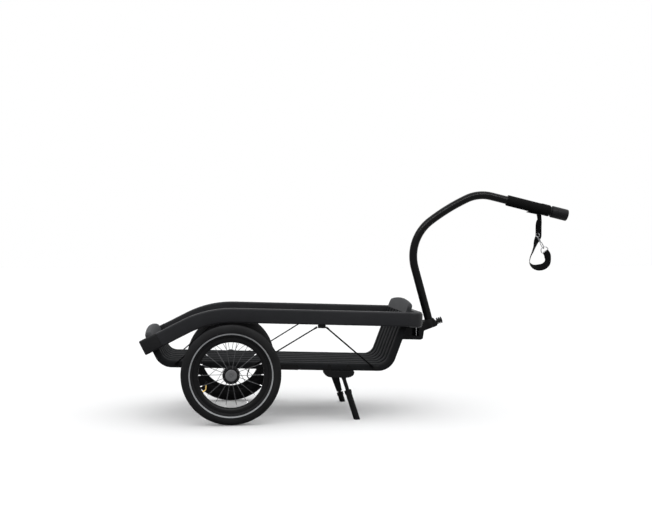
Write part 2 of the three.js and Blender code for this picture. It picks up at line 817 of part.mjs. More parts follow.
function valve(angle, side) {
  const out = rimHoleRadius * Math.cos(Math.PI / wheelSides) - seatGap;
  const point = (radius, turn) => [radius * Math.cos(turn), 0, radius * Math.sin(turn)];
  const base = new THREE.Vector3(...point(out, angle));
  const elbow = base.clone().addScaledVector(new THREE.Vector3(...point(1, angle)), -valveStemLength);
  const tip = elbow.clone().addScaledVector(
    new THREE.Vector3(...point(1, angle - side * valveBend)),
    -valveTipLength,
  );
  return joined(
    rod(valveRadius, base.toArray(), elbow.toArray(), 8),
    rod(valveRadius, elbow.toArray(), tip.toArray(), 8),
    new THREE.SphereGeometry(valveRadius, 8, 6).translate(...elbow.toArray()),
  );
}

for (const [name, side] of Object.entries(sides)) {
  const wheel = new THREE.Group();
  wheel.position.y = side * track / 2;
  standing.add(wheel);
  piece(wheel, `tyre_${name}`, tyre(), looks.tyre);
  piece(wheel, `rim_${name}`, rim(), looks.rim);
  piece(wheel, `hub_inner_spokes_${name}`, hub(side), looks.rim);
  piece(wheel, `outer_spokes_${name}`, outerFlange(side), looks.rim);
  piece(wheel, `hub_cap_${name}`, hubCap(side), looks.grey);
  piece(wheel, `valve_${name}`, valve(valveAngles[name], side), looks.brass);
}

// Stand: a block under each side member, joined by a bridge, with a cheek and a pin that each leg turns on
function standOutline() {
  const x0 = standX - standBlockLength / 2;
  const x1 = standX + standBlockLength / 2;
  const back = Array.from({ length: bendSteps + 1 }, (_, i) => {
    const turn = Math.PI / 2 * i / bendSteps;
    return [
      x0 + standCornerRun * (1 - Math.cos(turn)),
      standBlockBottom + standCornerRise * (1 - Math.sin(turn)),
    ];
  });
  const ahead = back.map(([x, z]) => [x0 + x1 - x, z]).reverse();
  return [[x0, standBlockTop], ...back, ...ahead, [x1, standBlockTop]];
}

const legInner = trayHalf + runGap;
const legOuter = legInner + legThickness;
function standMount() {
  const inner = trayHalf - standBlockWidth;
  const cheek = legOuter + runGap;
  const parts = [block(
    standX - standBridgeLength / 2, standX + standBridgeLength / 2,
    -inner - cutOverrun, inner + cutOverrun,
    standBlockTop - standBridgeHeight, standBlockTop,
  )];
  for (const side of Object.values(sides)) {
    for (const reach of [[inner, trayHalf], [cheek, cheek + standCheek]]) {
      const y = reach.map((from) => side * from).sort((a, b) => a - b);
      parts.push(acrossWidth(standOutline(), ...y));
    }
    const at = (reach) => [pivotX, side * reach, standZ];
    parts.push(rod(standPinRadius, at(inner + seatGap), at(cheek + standCheek - seatGap), 12));
  }
  return joined(...parts);
}
piece(chassis, 'stand_mount', standMount(), looks.cap);

// A leg hangs from its eye: a tapered plate, then a tube that the sleeve of its foot rides on.
const stand = levelGroup(pivotX, standZ);
const pivotHeight = floorHeight(pivotX, standZ);
for (const [name, side] of Object.entries(sides)) {
  const { eye, plateLength, plateEnd, sleeveStart, lean } = legs[name];
  const legReach = pivotHeight / Math.cos(lean);
  const legWay = (reach, offset = 0) => [
    reach * Math.sin(lean) + offset * Math.cos(lean),
    -reach * Math.cos(lean) + offset * Math.sin(lean),
  ];
  const middle = side * (legInner + legOuter) / 2;
  const onLeg = (reach) => {
    const [x, z] = legWay(reach);
    return [x, middle, z];
  };
  const plate = acrossWidth(
    [
      legWay(0, -eye), legWay(plateLength, -plateEnd), legWay(plateLength, plateEnd), legWay(0, eye),
    ],
    Math.min(side * legInner, side * legOuter),
    Math.max(side * legInner, side * legOuter),
  );
  const head = rod(eye, [0, side * legInner, 0], [0, side * legOuter, 0], hubSides);
  const tube = rod(legTubeRadius, onLeg(plateLength - legTubeRadius), onLeg(legTubeLength), 16);
  const hole = rod(
    standPinRadius + runGap,
    [0, side * (legInner - cutOverrun), 0],
    [0, side * (legOuter + cutOverrun), 0],
    12,
  );
  piece(stand, `stand_leg_${name}`, cut(joined(head, plate, tube), hole), looks.casting);

  const bore = rod(legTubeRadius + seatGap, onLeg(0), onLeg(legTubeLength + seatGap), 16);
  const floor = block(-legReach, legReach, -track, track, -2 * legReach, -pivotHeight);
  const sleeve = joined(
    rod(sleeveRadius, onLeg(sleeveStart), onLeg(legReach + sleeveRadius), 16),
    rod(sleeveCollarRadius, onLeg(sleeveStart), onLeg(sleeveStart + sleeveCollarLength), 16),
  );
  piece(stand, `stand_foot_${name}`, cut(sleeve, bore, floor), looks.cap);
}

// Hitch receiver: a box under the front cross rail with a window through it and a pin across the window
const receiverTop = railBottom - seatGap;
const receiverFront = frontFace - receiverSetback + receiverLength;
function receiver() {
  const back = receiverFront - receiverLength;
  const bottom = receiverTop - receiverDepth;
  const nose = receiverNose.map(([setback, rise]) => [receiverFront - setback, bottom + rise]);
  const outline = [[back, receiverTop], [back, bottom], ...nose, [receiverFront, receiverTop]];
  const half = receiverWidth / 2;
  const body = acrossWidth(outline, -half, half);
  const windowX = receiverFront - windowSetback - windowLength / 2;
  const windowZ = bottom + windowFloor;
  const opening = block(
    windowX - windowLength / 2, windowX + windowLength / 2,
    -half - cutOverrun, half - windowWall, windowZ, windowZ + windowHeight,
  );
  const pinX = windowX + windowPinAhead;
  const pin = rod(windowPinRadius, [pinX, 0, windowZ - cutOverrun],
    [pinX, 0, windowZ + windowHeight + cutOverrun], 12);
  return geometryOf(solidOf(body).subtract(solidOf(opening)).add(solidOf(pin)));
}
piece(chassis, 'hitch_receiver', receiver(), looks.casting);

// The hitch's own group: origin on the arm's axis at its foot, +Z up along the arm, +X forward across it
const hitch = new THREE.Group();
hitch.position.set(armFootX, 0, armFootZ);
hitch.rotation.y = -armLean;
chassis.add(hitch);

function footCasting() {
  const cup = rod(castingRadius, [0, 0, -castingBelow], [0, 0, castingAbove], hubSides);
  const socket = rod(
    armRadius + runGap,
    [0, 0, -castingBelow + castingFloor],
    [0, 0, castingAbove + cutOverrun],
    hubSides,
  );
  const reach = armFootX - receiverFront - seatGap;
  const wedge = acrossWidth(
    [[-reach, wedgeRise], [-reach, -wedgeDrop], ...wedgeNose],
    -wedgeWidth / 2,
    wedgeWidth / 2,
  );
  wedge.rotateY(armLean);
  const hole = rod(plungerRadius + runGap, [0, 0, -knobDrop], [knobSetback + cutOverrun, 0, -knobDrop], 12);
  return geometryOf(solidOf(cup).add(solidOf(wedge)).subtract(solidOf(socket)).subtract(solidOf(hole)));
}
piece(hitch, 'foot_casting', footCasting(), looks.casting);

// Lock knob: a ribbed grip on a plunger that points at the arm
function lockKnob() {
  const at = (x) => [x, 0, -knobDrop];
  const rib = knobLength / (2 * knobRibs - 1);
  const parts = [rod(plungerRadius, at(armRadius + runGap), at(knobSetback + rib), 12)];
  parts.push(rod(knobRadius - knobGroove, at(knobSetback), at(knobSetback + knobLength), 16));
  for (let i = 0; i < knobRibs; i += 1) {
    const start = knobSetback + 2 * i * rib;
    parts.push(rod(knobRadius, at(start), at(start + rib), 16));
  }
  return joined(...parts);
}
piece(hitch, 'lock_knob', lockKnob(), looks.cap);

// Arm: a hollow tube bent in the side view
const armStart = -castingBelow + castingFloor + runGap;
const armRun = sideRun(
  armFootX - armStart * Math.sin(armLean),
  armFootZ + armStart * Math.cos(armLean),
  Math.PI / 2 + armLean,
  [
    { length: armLegLength },
    { radius: armBendRadius, turn: -armBend, steps: 8 },
    { radius: armBackRadius, turn: -armBackBend, steps: 3 },
    { radius: armCrownRadius, turn: -armCrownBend, steps: 5 },
    { length: armTopLength },
  ],
);
const armTube = swept(roundSection(armRadius, armSides, armRadius - armWall, armSides / 2), armRun.stations);
piece(chassis, 'hitch_arm', armTube, looks.arm);

// The grip's group: origin where the top run starts, +X along it to the coupling
const top = new THREE.Group();
top.position.copy(armRun.stations[armRun.stations.length - 2]);
top.rotation.y = -armRun.heading;
chassis.add(top);

function turnedAlongX(profile, turnSides) {
  return turned(profile, 1, turnSides).rotateZ(-Math.PI / 2);
}

const bandRadius = gripRadius + gripBandRise;
function gripSleeve() {
  const bore = (armRadius + seatGap) / Math.cos(Math.PI / armSides);
  const end = gripStart + gripLength;
  const bandStart = end - gripBandLength;
  return turnedAlongX([
    [bore, gripStart], [gripRadius - gripEdge, gripStart], [gripRadius, gripStart + gripEdge],
    [gripRadius, bandStart], [bandRadius, bandStart + gripBandRise],
    [bandRadius, end - gripEdge], [bandRadius - gripEdge, end], [bore, end], [bore, gripStart],
  ], armSides);
}
piece(top, 'grip_sleeve', gripSleeve(), looks.grip);

const socketStart = gripStart + gripLength + socketGap;
const socketEnd = socketStart + socketLength;
function couplingSocket() {
  const tubeBore = (armRadius - armWall) * Math.cos(2 * Math.PI / armSides);
  const neckRadius = Math.min(socketNeckRadius, tubeBore - seatGap);
  const neckEnd = gripStart + gripLength + seatGap;
  return turnedAlongX([
    [0, armTopLength - socketNeckLength], [neckRadius, armTopLength - socketNeckLength],
    [neckRadius, neckEnd], [socketCollarRadius, neckEnd + seatGap],
    [socketCollarRadius, socketStart], [socketRadius, socketStart + socketEdge],
    [socketRadius, socketEnd - socketEdge], [socketRadius - socketEdge, socketEnd],
    [socketBore, socketEnd], [socketBore, socketEnd - socketDepth], [0, socketEnd - socketDepth],
  ], armSides);
}
piece(top, 'coupling_socket', couplingSocket(), looks.cap);

// Safety strap: a level group with its origin at the round ring's centre, plumb below the grip
const plumb = new THREE.Vector3(Math.sin(-pitch), 0, Math.cos(-pitch));
const gripUnderside = new THREE.Vector3(strapReach, 0, -gripRadius);
gripUnderside.applyAxisAngle(alongY, -armRun.heading).add(top.position);
const ringCentre = gripUnderside.clone().addScaledVector(plumb, -ringDrop);
const strap = levelGroup(ringCentre.x, ringCentre.z);
trailer.updateMatrixWorld(true);
const besideGrip = (reach) => strap.worldToLocal(top.localToWorld(new THREE.Vector3(reach, 0, 0))).toArray();

// The D ring's group hangs in the mouth of the hook: +X along its bar, and its bar faces away from the hook.
const hookDrop = ringRadius + hookEyeRadius - hookWire - ringWire - 2 * seatGap;
const dRingReach = hookDrop - ringRadius + hookLength - dRingSeat + dRingRadius;
const dRing = new THREE.Group();
dRing.position.set(dRingReach * Math.sin(hookLean), 0, -ringRadius - dRingReach * Math.cos(hookLean));
dRing.rotation.y = -dRingLean;
strap.add(dRing);
dRing.updateMatrix();

const smooth = (points) => new THREE.CatmullRomCurve3(points, false, 'centripetal');
function webbing() {
  const onDRing = (drop) => new THREE.Vector3(0, 0, -drop).applyMatrix4(dRing.matrix);
  const barDrop = dRingChord + dRingWire + seatGap;
  const places = webbingRoute.map(([x, y, z]) => new THREE.Vector3(x, y, z));
  places.push(onDRing(barDrop + webbingWidth / 2), onDRing(barDrop));
  const turns = [...webbingRoute.map(([, , , turn]) => degToRad(turn)), degToRad(262), degToRad(270)];
  const spans = places.length - 1;
  const curve = smooth(places);
  const stations = [];
  const across = [];
  for (let i = 0; i <= spans * webbingSplits; i += 1) {
    const at = i / webbingSplits;
    const from = Math.min(Math.floor(at), spans - 1);
    const turn = THREE.MathUtils.lerp(turns[from], turns[from + 1], at - from);
    stations.push(curve.getPoint(at / spans));
    const way = curve.getTangent(at / spans);
    const upright = new THREE.Vector3(-way.z, 0, way.x).normalize();
    across.push(upright.multiplyScalar(Math.sin(turn)).addScaledVector(alongY, Math.cos(turn)));
  }
  const ribbon = swept(barSection(webbingWidth, webbingThickness, webbingThickness / 4), stations, across);
  const keeper = new THREE.TorusGeometry(keeperRadius, keeperWire, 6, 14);
  keeper.translate(keeperRadius - ringWire - keeperWire - seatGap, 0, 0).rotateX(Math.PI / 2);
  keeper.rotateZ(Math.PI / 2 + ringTurn).translate(0, 0, ringRadius);
  const slope = Math.tan(armRun.heading - pitch);
  const under = (x, drop) => [x, ringDrop + slope * x - drop];
  const tip = acrossWidth(
    [
      under(-flap.back, flap.drop), under(flap.ahead, flap.drop / 2 + webbingThickness),
      under(flap.ahead, -cutOverrun), under(-flap.back + flap.drop, -cutOverrun),
    ],
    -flap.width / 2,
    flap.width / 2,
  );
  const clear = rod(
    (bandRadius + seatGap) / Math.cos(Math.PI / wheelSides),
    besideGrip(gripStart), besideGrip(armTopLength), wheelSides,
  );
  return cut(joined(ribbon, keeper, tip), clear);
}
piece(strap, 'strap_webbing', webbing(), looks.webbing);

const ring = new THREE.TorusGeometry(ringRadius, ringWire, 8, 20).rotateX(Math.PI / 2).rotateZ(ringTurn);
piece(strap, 'strap_ring', ring, looks.steel);

function dRingWireform() {
  const arc = new THREE.TorusGeometry(dRingRadius, dRingWire, 8, 24).rotateX(Math.PI / 2);
  const reach = 2 * dRingRadius;
  const below = block(-reach, reach, -reach, reach, -reach, -dRingChord);
  const half = Math.sqrt(dRingRadius * dRingRadius - dRingChord * dRingChord);
  const ends = [-half, half].map((x) => [x, 0, -dRingChord]);
  const knuckles = ends.map((end) => new THREE.SphereGeometry(dRingWire, 8, 6).translate(...end));
  return joined(cut(arc, below), rod(dRingWire, ...ends, 8), ...knuckles);
}
piece(dRing, 'strap_d_ring', dRingWireform(), looks.steel);

// Snap hook: an eye on the ring's lower wire, a barrel, and a bent wire whose mouth the gate closes
const hang = new THREE.Group();
hang.position.z = -ringRadius;
hang.rotation.y = -hookLean;
strap.add(hang);
const hook = new THREE.Group();
hook.position.z = ringRadius - hookDrop;
hook.rotation.z = ringTurn - Math.PI / 2;
hang.add(hook);

const hookHalf = hookWidth / 2;
const barrelTop = -hookEyeRadius;
const barrelLow = barrelTop - barrelLength;
const mouthLow = -hookLength + hookHalf;
function snapHook() {
  const eye = new THREE.TorusGeometry(hookEyeRadius, hookWire, 8, 16).rotateX(Math.PI / 2);
  const stations = [
    [0, barrelLow + hookHalf / 2], [0, barrelLow - hookWire], [-hookHalf, barrelLow - hookHalf],
    [-hookHalf, mouthLow], [0, -hookLength], [hookHalf, mouthLow], [hookHalf, mouthLow + hookWire],
  ].map(([x, z]) => new THREE.Vector3(x, 0, z));
  const lug = rod(
    gateWire,
    [0, 0, barrelLow + gateWire],
    [gateHead[0], 0, gateHead[2] + gateWire + seatGap],
    8,
  );
  const barrel = rod(barrelRadius, [0, 0, barrelTop - hookWire / 2], [0, 0, barrelLow], 12);
  return joined(eye, swept(roundSection(hookWire, 8), stations), lug, barrel);
}

// The gate leans from a lug on the hook's barrel to the tip of the mouth.
const gateFoot = [hookHalf, 0, mouthLow + hookWire + seatGap];
const gateHead = [hookHalf - hookWire / 2, 0, mouthLow + hookWire + hookMouth];
piece(hook, 'snap_hook', snapHook(), looks.steel);
piece(hook, 'snap_gate', rod(gateWire, gateHead, gateFoot, 8), looks.steel);

// The part stands on the floor, centred under its own box
standing.position.z = axleHeight;
trailer.updateMatrixWorld(true);
const box = new THREE.Box3().setFromObject(trailer, true);
trailer.position.set(-(box.min.x + box.max.x) / 2, -(box.min.y + box.max.y) / 2, -box.min.z);

export default trailer;
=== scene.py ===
# %% [markdown]
# # A cargo bike trailer
# A ribbed tray hangs between two bent side rails on a pair of spoked wheels, with a swan neck arm in front
# and a small stand below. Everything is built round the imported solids, in metres, in their own frame.
# The visible skins are lofted from rings of points, because rails, ribs, tyres and tubes are all one
# section carried along one path, and a loft gives them smooth bends and true edges.

import json
import math

import bmesh
import bpy
from mathutils import Matrix, Vector


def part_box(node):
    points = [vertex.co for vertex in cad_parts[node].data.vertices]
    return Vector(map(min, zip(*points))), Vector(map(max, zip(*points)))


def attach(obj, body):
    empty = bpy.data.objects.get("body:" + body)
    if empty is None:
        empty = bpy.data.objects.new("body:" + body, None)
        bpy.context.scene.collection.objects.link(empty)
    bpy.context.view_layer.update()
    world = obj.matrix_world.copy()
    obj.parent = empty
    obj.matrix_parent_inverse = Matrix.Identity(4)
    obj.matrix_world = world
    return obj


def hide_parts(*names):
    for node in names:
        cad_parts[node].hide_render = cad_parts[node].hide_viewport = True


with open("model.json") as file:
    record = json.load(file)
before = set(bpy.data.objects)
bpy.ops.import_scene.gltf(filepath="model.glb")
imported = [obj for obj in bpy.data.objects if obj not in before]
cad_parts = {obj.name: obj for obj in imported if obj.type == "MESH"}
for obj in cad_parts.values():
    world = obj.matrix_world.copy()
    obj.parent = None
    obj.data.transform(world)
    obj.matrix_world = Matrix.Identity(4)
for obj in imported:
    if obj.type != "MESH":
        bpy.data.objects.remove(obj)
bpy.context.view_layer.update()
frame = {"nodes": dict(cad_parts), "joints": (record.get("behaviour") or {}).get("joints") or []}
joints = {joint["name"]: joint for joint in frame["joints"]}

# %% [markdown]
# The chassis leans nose down about the axle by a small angle. Its pieces could be written straight in the
# frame's metres, but every number would then hide that lean. So they are written in the chassis's own
# level millimetres, and one matrix carries them over. The wheels use an upright place of their own.

# %% Places of the chassis and the wheels
MM = 0.001
AXLE = Vector(joints["wheel_right_spin"]["pos_m"])
AXLE.y = 0
LEAN = math.radians(1.7)
TRACK = 650.0
SIDES = {"right": -1, "left": 1}

SCALE = Matrix.Scale(MM, 4)
CHASSIS = Matrix.Translation(AXLE) @ Matrix.Rotation(LEAN, 4, "Y") @ SCALE


def told(numbers):
    """Numbers rounded for printing."""
    return [round(number, 4) for number in numbers]


print("axle at", told(AXLE))

# %% [markdown]
# The camera stands where the photograph was taken: a long lens, four metres off, turned a few degrees
# towards the hitch and a degree down. It could come last, but it is made first, so that every later piece
# can be judged through it. Its focal length is written in pixels, as it was measured.

# %% Camera
IMAGE_WIDTH, FOCAL_PIXELS, SENSOR_WIDTH = 652, 975.0, 36.0
CAMERA_SPOT = Vector((-0.009, -4.248, 0.712))
CAMERA_YAW, CAMERA_TILT = math.radians(5.7), math.radians(1.0)


def new_object(name, data):
    """An object in the scene that holds the data."""
    made = bpy.data.objects.new(name, data)
    bpy.context.scene.collection.objects.link(made)
    return made


camera_data = bpy.data.cameras.new("camera")
camera_data.sensor_width = SENSOR_WIDTH
camera_data.lens = FOCAL_PIXELS / IMAGE_WIDTH * SENSOR_WIDTH
camera = new_object("camera", camera_data)
camera.location = CAMERA_SPOT + Vector((AXLE.x, 0, 0))
camera.rotation_euler = (math.pi / 2 - CAMERA_TILT, 0, -CAMERA_YAW)
bpy.context.scene.camera = camera
print("lens", round(camera_data.lens, 2), "mm")

# %% [markdown]
# Blender's own curves could carry a section along a path, but rings of points keep each bend exact and
# leave the ends free to be rounded over. These helpers make the rings: a rectangle with round corners, a
# circle, a path of straights and bends in the side view, and a bar swept along such a path.


# %% Rings and runs
NOSE_STEPS = 3


def round_corners(width, height, radii, steps=4):
    """A rectangle with four round corners, as (across, up) points."""
    ring = []
    centres = ((1, 1), (-1, 1), (-1, -1), (1, -1))
    for quarter, ((sx, sy), radius) in enumerate(zip(centres, radii)):
        for step in range(steps + 1):
            angle = math.pi / 2 * (quarter + step / steps)
            ring.append((
                sx * (width / 2 - radius) + radius * math.cos(angle),
                sy * (height / 2 - radius) + radius * math.sin(angle),
            ))
    return ring


def circle(radius, count):
    turns = [2 * math.pi * i / count for i in range(count)]
    return [(radius * math.cos(turn), radius * math.sin(turn)) for turn in turns]


def side_run(x, z, heading, moves):
    """Stations (x, z, heading) in the side view, through straights and (radius, turn, steps) bends."""
    run = [(x, z, heading)]
    for move in moves:
        if isinstance(move, (int, float)):
            x += move * math.cos(heading)
            z += move * math.sin(heading)
            run.append((x, z, heading))
            continue
        radius, turn, steps = move
        for _ in range(steps):
            chord = 2 * radius * math.sin(abs(turn) / steps / 2)
            heading += turn / steps / 2
            x += chord * math.cos(heading)
            z += chord * math.sin(heading)
            heading += turn / steps / 2
            run.append((x, z, heading))
    return run


def station_ring(station, y, section):
    """A section of (across, up) points set square to the path at a station."""
    x, z, heading = station
    return [(x - up * math.sin(heading), y + across, z + up * math.cos(heading)) for across, up in section]


def moved_on(station, reach):
    """The station moved straight on by a reach."""
    x, z, heading = station
    return x + reach * math.cos(heading), z + reach * math.sin(heading), heading


def swept_bar(run, y, section, nose=0.0):
    """Rings of a bar along a run. section(inset) gives its points, and nose rounds over both ends."""
    rings = [station_ring(station, y, section(0)) for station in run]
    if not nose:
        return rings
    for step in range(1, NOSE_STEPS + 1):
        angle = math.pi / 2 * step / NOSE_STEPS
        points = section(nose * (1 - math.cos(angle)))
        reach = nose * math.sin(angle)
        rings.insert(0, station_ring(moved_on(run[0], -reach), y, points))
        rings.append(station_ring(moved_on(run[-1], reach), y, points))
    return rings


print("a quarter bend of 100 mm ends at", told(side_run(0, 0, 0, [(100, math.pi / 2, 8)])[-1][:2]))

# %% [markdown]
# A skin is a list of points and faces. It comes from rings, from a profile turned about the axle, from an
# outline run across the width, or from a rod or a wire through points. Blender has a modifier for most of
# these, but a plain list can be placed, joined with others and measured before it becomes a mesh.


# %% Skins
def ring_skin(rings, closed=False):
    """Rings joined by quads, and closed in a loop or by a cap at each end."""
    count = len(rings[0])
    points = [point for ring in rings for point in ring]
    faces = []
    for i in range(len(rings) if closed else len(rings) - 1):
        after = (i + 1) % len(rings)
        for j in range(count):
            beside = (j + 1) % count
            faces.append((i * count + j, i * count + beside, after * count + beside, after * count + j))
    if not closed:
        faces.append(tuple(range(count)))
        faces.append(tuple((len(rings) - 1) * count + j for j in range(count)))
    return points, faces


def turned_skin(profile, side=1, count=96, bump=None):
    """A closed (radius, outward) profile turned about the Y axis."""
    rings = []
    for i in range(count):
        angle = 2 * math.pi * i / count
        ring = []
        for j, (radius, outward) in enumerate(profile):
            reach = radius + (bump(i, j) if bump else 0)
            ring.append((reach * math.cos(angle), outward * side, reach * math.sin(angle)))
        rings.append(ring)
    return ring_skin(rings, closed=True)


def slab_skin(outline, y0, y1):
    """An (x, z) outline run across the width."""
    return ring_skin([[(x, y, z) for x, z in outline] for y in (y0, y1)])


def rod_skin(start, end, radius, count=16, end_radius=None, rounding=0.0):
    """A round rod between two points, with its ends eased over."""
    start, end = Vector(start), Vector(end)
    length = (end - start).length
    way = (end - start).normalized()
    side = way.orthogonal().normalized()
    other = way.cross(side)
    last = radius if end_radius is None else end_radius
    stops = [(rounding, radius), (length - rounding, last)]
    if rounding:
        stops = [(0, radius - rounding), *stops, (length, last - rounding)]
    rings = []
    for reach, size in stops:
        centre = start + way * reach
        rings.append([centre + side * a + other * b for a, b in circle(size, count)])
    return ring_skin(rings)


def tube_skin(points, radius, count=14):
    """A round tube through points in space, its section carried along without twisting."""
    points = [Vector(point) for point in points]
    rings = []
    side = (points[1] - points[0]).normalized().orthogonal().normalized()
    for i, point in enumerate(points):
        way = (points[min(i + 1, len(points) - 1)] - points[max(i - 1, 0)]).normalized()
        side = (side - way * side.dot(way)).normalized()
        other = way.cross(side)
        rings.append([point + side * a + other * b for a, b in circle(radius, count)])
    return ring_skin(rings)


def wire_loop(points, radius, count=14):
    """A wire through points and back to the first."""
    return tube_skin([*points, points[0]], radius, count)


print("a rod has", len(rod_skin((0, 0, 0), (0, 0, 1), 1)[1]), "faces")

# %% [markdown]
# Every piece is made in one call: its skins are placed, its faces turned outward and shaded smooth up to a
# sharp angle, it is given its finish and tied to the body that it moves with, and the solids that it
# stands for are hidden. Some solids have their photographed shape already: those are copied, and a small
# bevel takes the razor edge off them, as on any moulded or cast block.


# %% Pieces
SHARP_ANGLE, SOLID_SHARP_ANGLE, BEVEL_ANGLE, FLAT_ANGLE = 38, 30, 28, 2
SKIN_WELD, SOLID_WELD = 1e-7, 1e-6
BEVEL_SEGMENTS = 3


def dress(piece, finish, body, stands_for, sharp):
    """Gives a piece its shading, finish and body, and hides the solids that it stands for."""
    piece.data.shade_smooth()
    piece.data.set_sharp_from_angle(angle=math.radians(sharp))
    piece.data.materials.clear()
    piece.data.materials.append(finish)
    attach(piece, body)
    if stands_for:
        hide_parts(*stands_for)
    return piece


def add_piece(name, skins, finish, slot, stands_for=(), place=CHASSIS, body="chassis", sharp=SHARP_ANGLE):
    mesh = bpy.data.meshes.new(name)
    bm = bmesh.new()
    for points, faces in skins:
        made = [bm.verts.new(place @ Vector(point)) for point in points]
        for face in faces:
            bm.faces.new([made[i] for i in face])
    bmesh.ops.remove_doubles(bm, verts=bm.verts, dist=SKIN_WELD)
    bmesh.ops.recalc_face_normals(bm, faces=bm.faces)
    bm.to_mesh(mesh)
    bm.free()
    return dress(new_object(name, mesh), finish, body, stands_for, sharp)


def dress_solid(node, name, finish, bevel, body="chassis"):
    """A copy of a solid with its flat faces merged and its edges eased."""
    mesh = frame["nodes"][node].data.copy()
    bm = bmesh.new()
    bm.from_mesh(mesh)
    bmesh.ops.remove_doubles(bm, verts=bm.verts, dist=SOLID_WELD)
    bmesh.ops.dissolve_limit(bm, angle_limit=math.radians(FLAT_ANGLE), verts=bm.verts, edges=bm.edges)
    bm.to_mesh(mesh)
    bm.free()
    piece = new_object(name, mesh)
    edges = piece.modifiers.new("edges", "BEVEL")
    edges.width = bevel * MM
    edges.segments = BEVEL_SEGMENTS
    edges.limit_method = "ANGLE"
    edges.angle_limit = math.radians(BEVEL_ANGLE)
    return dress(piece, finish, body, (node,), SOLID_SHARP_ANGLE)


print("weld:", SKIN_WELD / MM, "mm")

# %% [markdown]
# Photographs could colour the surfaces, but noise in the object's own metres needs none and never shows a
# seam. A powder coat has a fine orange peel and a slight unevenness of gloss, moulded plastic a coarser
# grain, and rubber is dull with pale dust in its grain. Each finish therefore takes a colour, a roughness
# and a grain, and varies all three a little.


# %% Finish helpers
BROAD_SCALE, BROAD_DETAIL, FINE_DETAIL = 9.0, 4.0, 3.0


def new_finish(name, colour, roughness, metallic=0.0, shine=0.5):
    """A plain finish. Its shine is how strongly it mirrors the light."""
    material = bpy.data.materials.new(name)
    material.use_nodes = True
    shader = material.node_tree.nodes["Principled BSDF"]
    shader.inputs["Base Color"].default_value = (*colour, 1)
    shader.inputs["Roughness"].default_value = roughness
    shader.inputs["Metallic"].default_value = metallic
    shader.inputs["Specular IOR Level"].default_value = shine
    material.diffuse_color = (*colour, 1)
    return material


def object_metres(material):
    """The place of each point in the object's own metres."""
    return material.node_tree.nodes.new("ShaderNodeTexCoord").outputs["Object"]


def noise(material, scale, detail):
    texture = material.node_tree.nodes.new("ShaderNodeTexNoise")
    texture.inputs["Scale"].default_value = scale
    texture.inputs["Detail"].default_value = detail
    material.node_tree.links.new(object_metres(material), texture.inputs["Vector"])
    return texture.outputs["Fac"]


def ramp(material, value, low, high, start=0.3, stop=0.7):
    """The value spread between two tones, each a colour or one number."""
    node = material.node_tree.nodes.new("ShaderNodeValToRGB")
    for element, position, tone in zip(node.color_ramp.elements, (start, stop), (low, high)):
        element.position = position
        element.color = (*tone, 1) if isinstance(tone, tuple) else (tone, tone, tone, 1)
    material.node_tree.links.new(value, node.inputs["Fac"])
    return node.outputs["Color"]


def relief(material, value, depth_mm, strength=0.6):
    nodes, links = material.node_tree.nodes, material.node_tree.links
    bump = nodes.new("ShaderNodeBump")
    bump.inputs["Distance"].default_value = depth_mm * MM
    bump.inputs["Strength"].default_value = strength
    links.new(value, bump.inputs["Height"])
    links.new(bump.outputs["Normal"], nodes["Principled BSDF"].inputs["Normal"])


def shade(colour, factor):
    return tuple(channel * factor for channel in colour)


def grained(name, colour, roughness, grain, depth, spread=0.12, gloss=0.06, metallic=0.0, shine=0.08):
    """A finish whose colour, gloss and relief all vary a little, at its own grain in millimetres."""
    material = new_finish(name, colour, roughness, metallic, shine)
    links = material.node_tree.links
    shader = material.node_tree.nodes["Principled BSDF"]
    broad = noise(material, BROAD_SCALE, BROAD_DETAIL)
    fine = noise(material, 1 / (grain * MM), FINE_DETAIL)
    patches = ramp(material, broad, shade(colour, 1 - spread), shade(colour, 1 + spread))
    links.new(patches, shader.inputs["Base Color"])
    links.new(ramp(material, fine, roughness - gloss, roughness + gloss), shader.inputs["Roughness"])
    relief(material, fine, depth)
    return material


print("broad patches are about", round(1 / BROAD_SCALE, 2), "m wide")

# %% [markdown]
# Almost everything is black, yet no two blacks are the same: the rails are a satin anthracite, the arm a
# glossier black, the tray a dark grey plastic with a leathery grain, and the castings and clips flat
# black. One black for all would lose the shapes, so each keeps its own line here. After the colour come
# the roughness and then the grain's width and depth in millimetres.

# %% Finishes
RAIL = grained("rail_powder_coat", (0.026, 0.0264, 0.0288), 0.42, 0.7, 0.03, shine=0.07)
CORNER = grained("corner_powder_coat", (0.019, 0.0194, 0.021), 0.48, 0.7, 0.04, shine=0.12)
# A pale finish for the corners' beads: a painted highlight along their lower outer edges.
CORNER_HIGHLIGHT = grained("corner_painted_highlight", (0.16, 0.162, 0.168), 0.45, 0.5, 0.02)
ARM = grained("arm_gloss_coat", (0.0065, 0.0065, 0.007), 0.22, 0.9, 0.01, gloss=0.03, shine=0.07)
CASTING = grained("casting_black_coat", (0.005, 0.005, 0.0055), 0.5, 0.8, 0.06)
TRAY = grained("tray_grained_plastic", (0.0175, 0.018, 0.0192), 0.6, 0.9, 0.10, spread=0.08, shine=0.01)
HEADER = grained("header_grained_plastic", (0.042, 0.043, 0.046), 0.62, 0.9, 0.10, spread=0.08)
TRIM = grained("trim_black_nylon", (0.0045, 0.0045, 0.0048), 0.6, 0.6, 0.05)
CAP = grained("end_cap_nylon", (0.012, 0.012, 0.013), 0.6, 0.6, 0.06)
CABLE = grained("cable_sheath", (0.003, 0.003, 0.0033), 0.55, 0.5, 0.05, shine=0.02)
RUBBER = grained("tyre_rubber", (0.015, 0.015, 0.0157), 0.85, 0.8, 0.08, spread=0.25)
REFLECTIVE = grained("tyre_reflective_band", (0.42, 0.43, 0.44), 0.45, 0.4, 0.03, spread=0.08)
RIM = grained("rim_black_anodised", (0.006, 0.006, 0.0065), 0.4, 0.4, 0.01)
SPOKE = grained("spoke_steel", (0.075, 0.076, 0.079), 0.38, 0.4, 0.01, metallic=0.8)
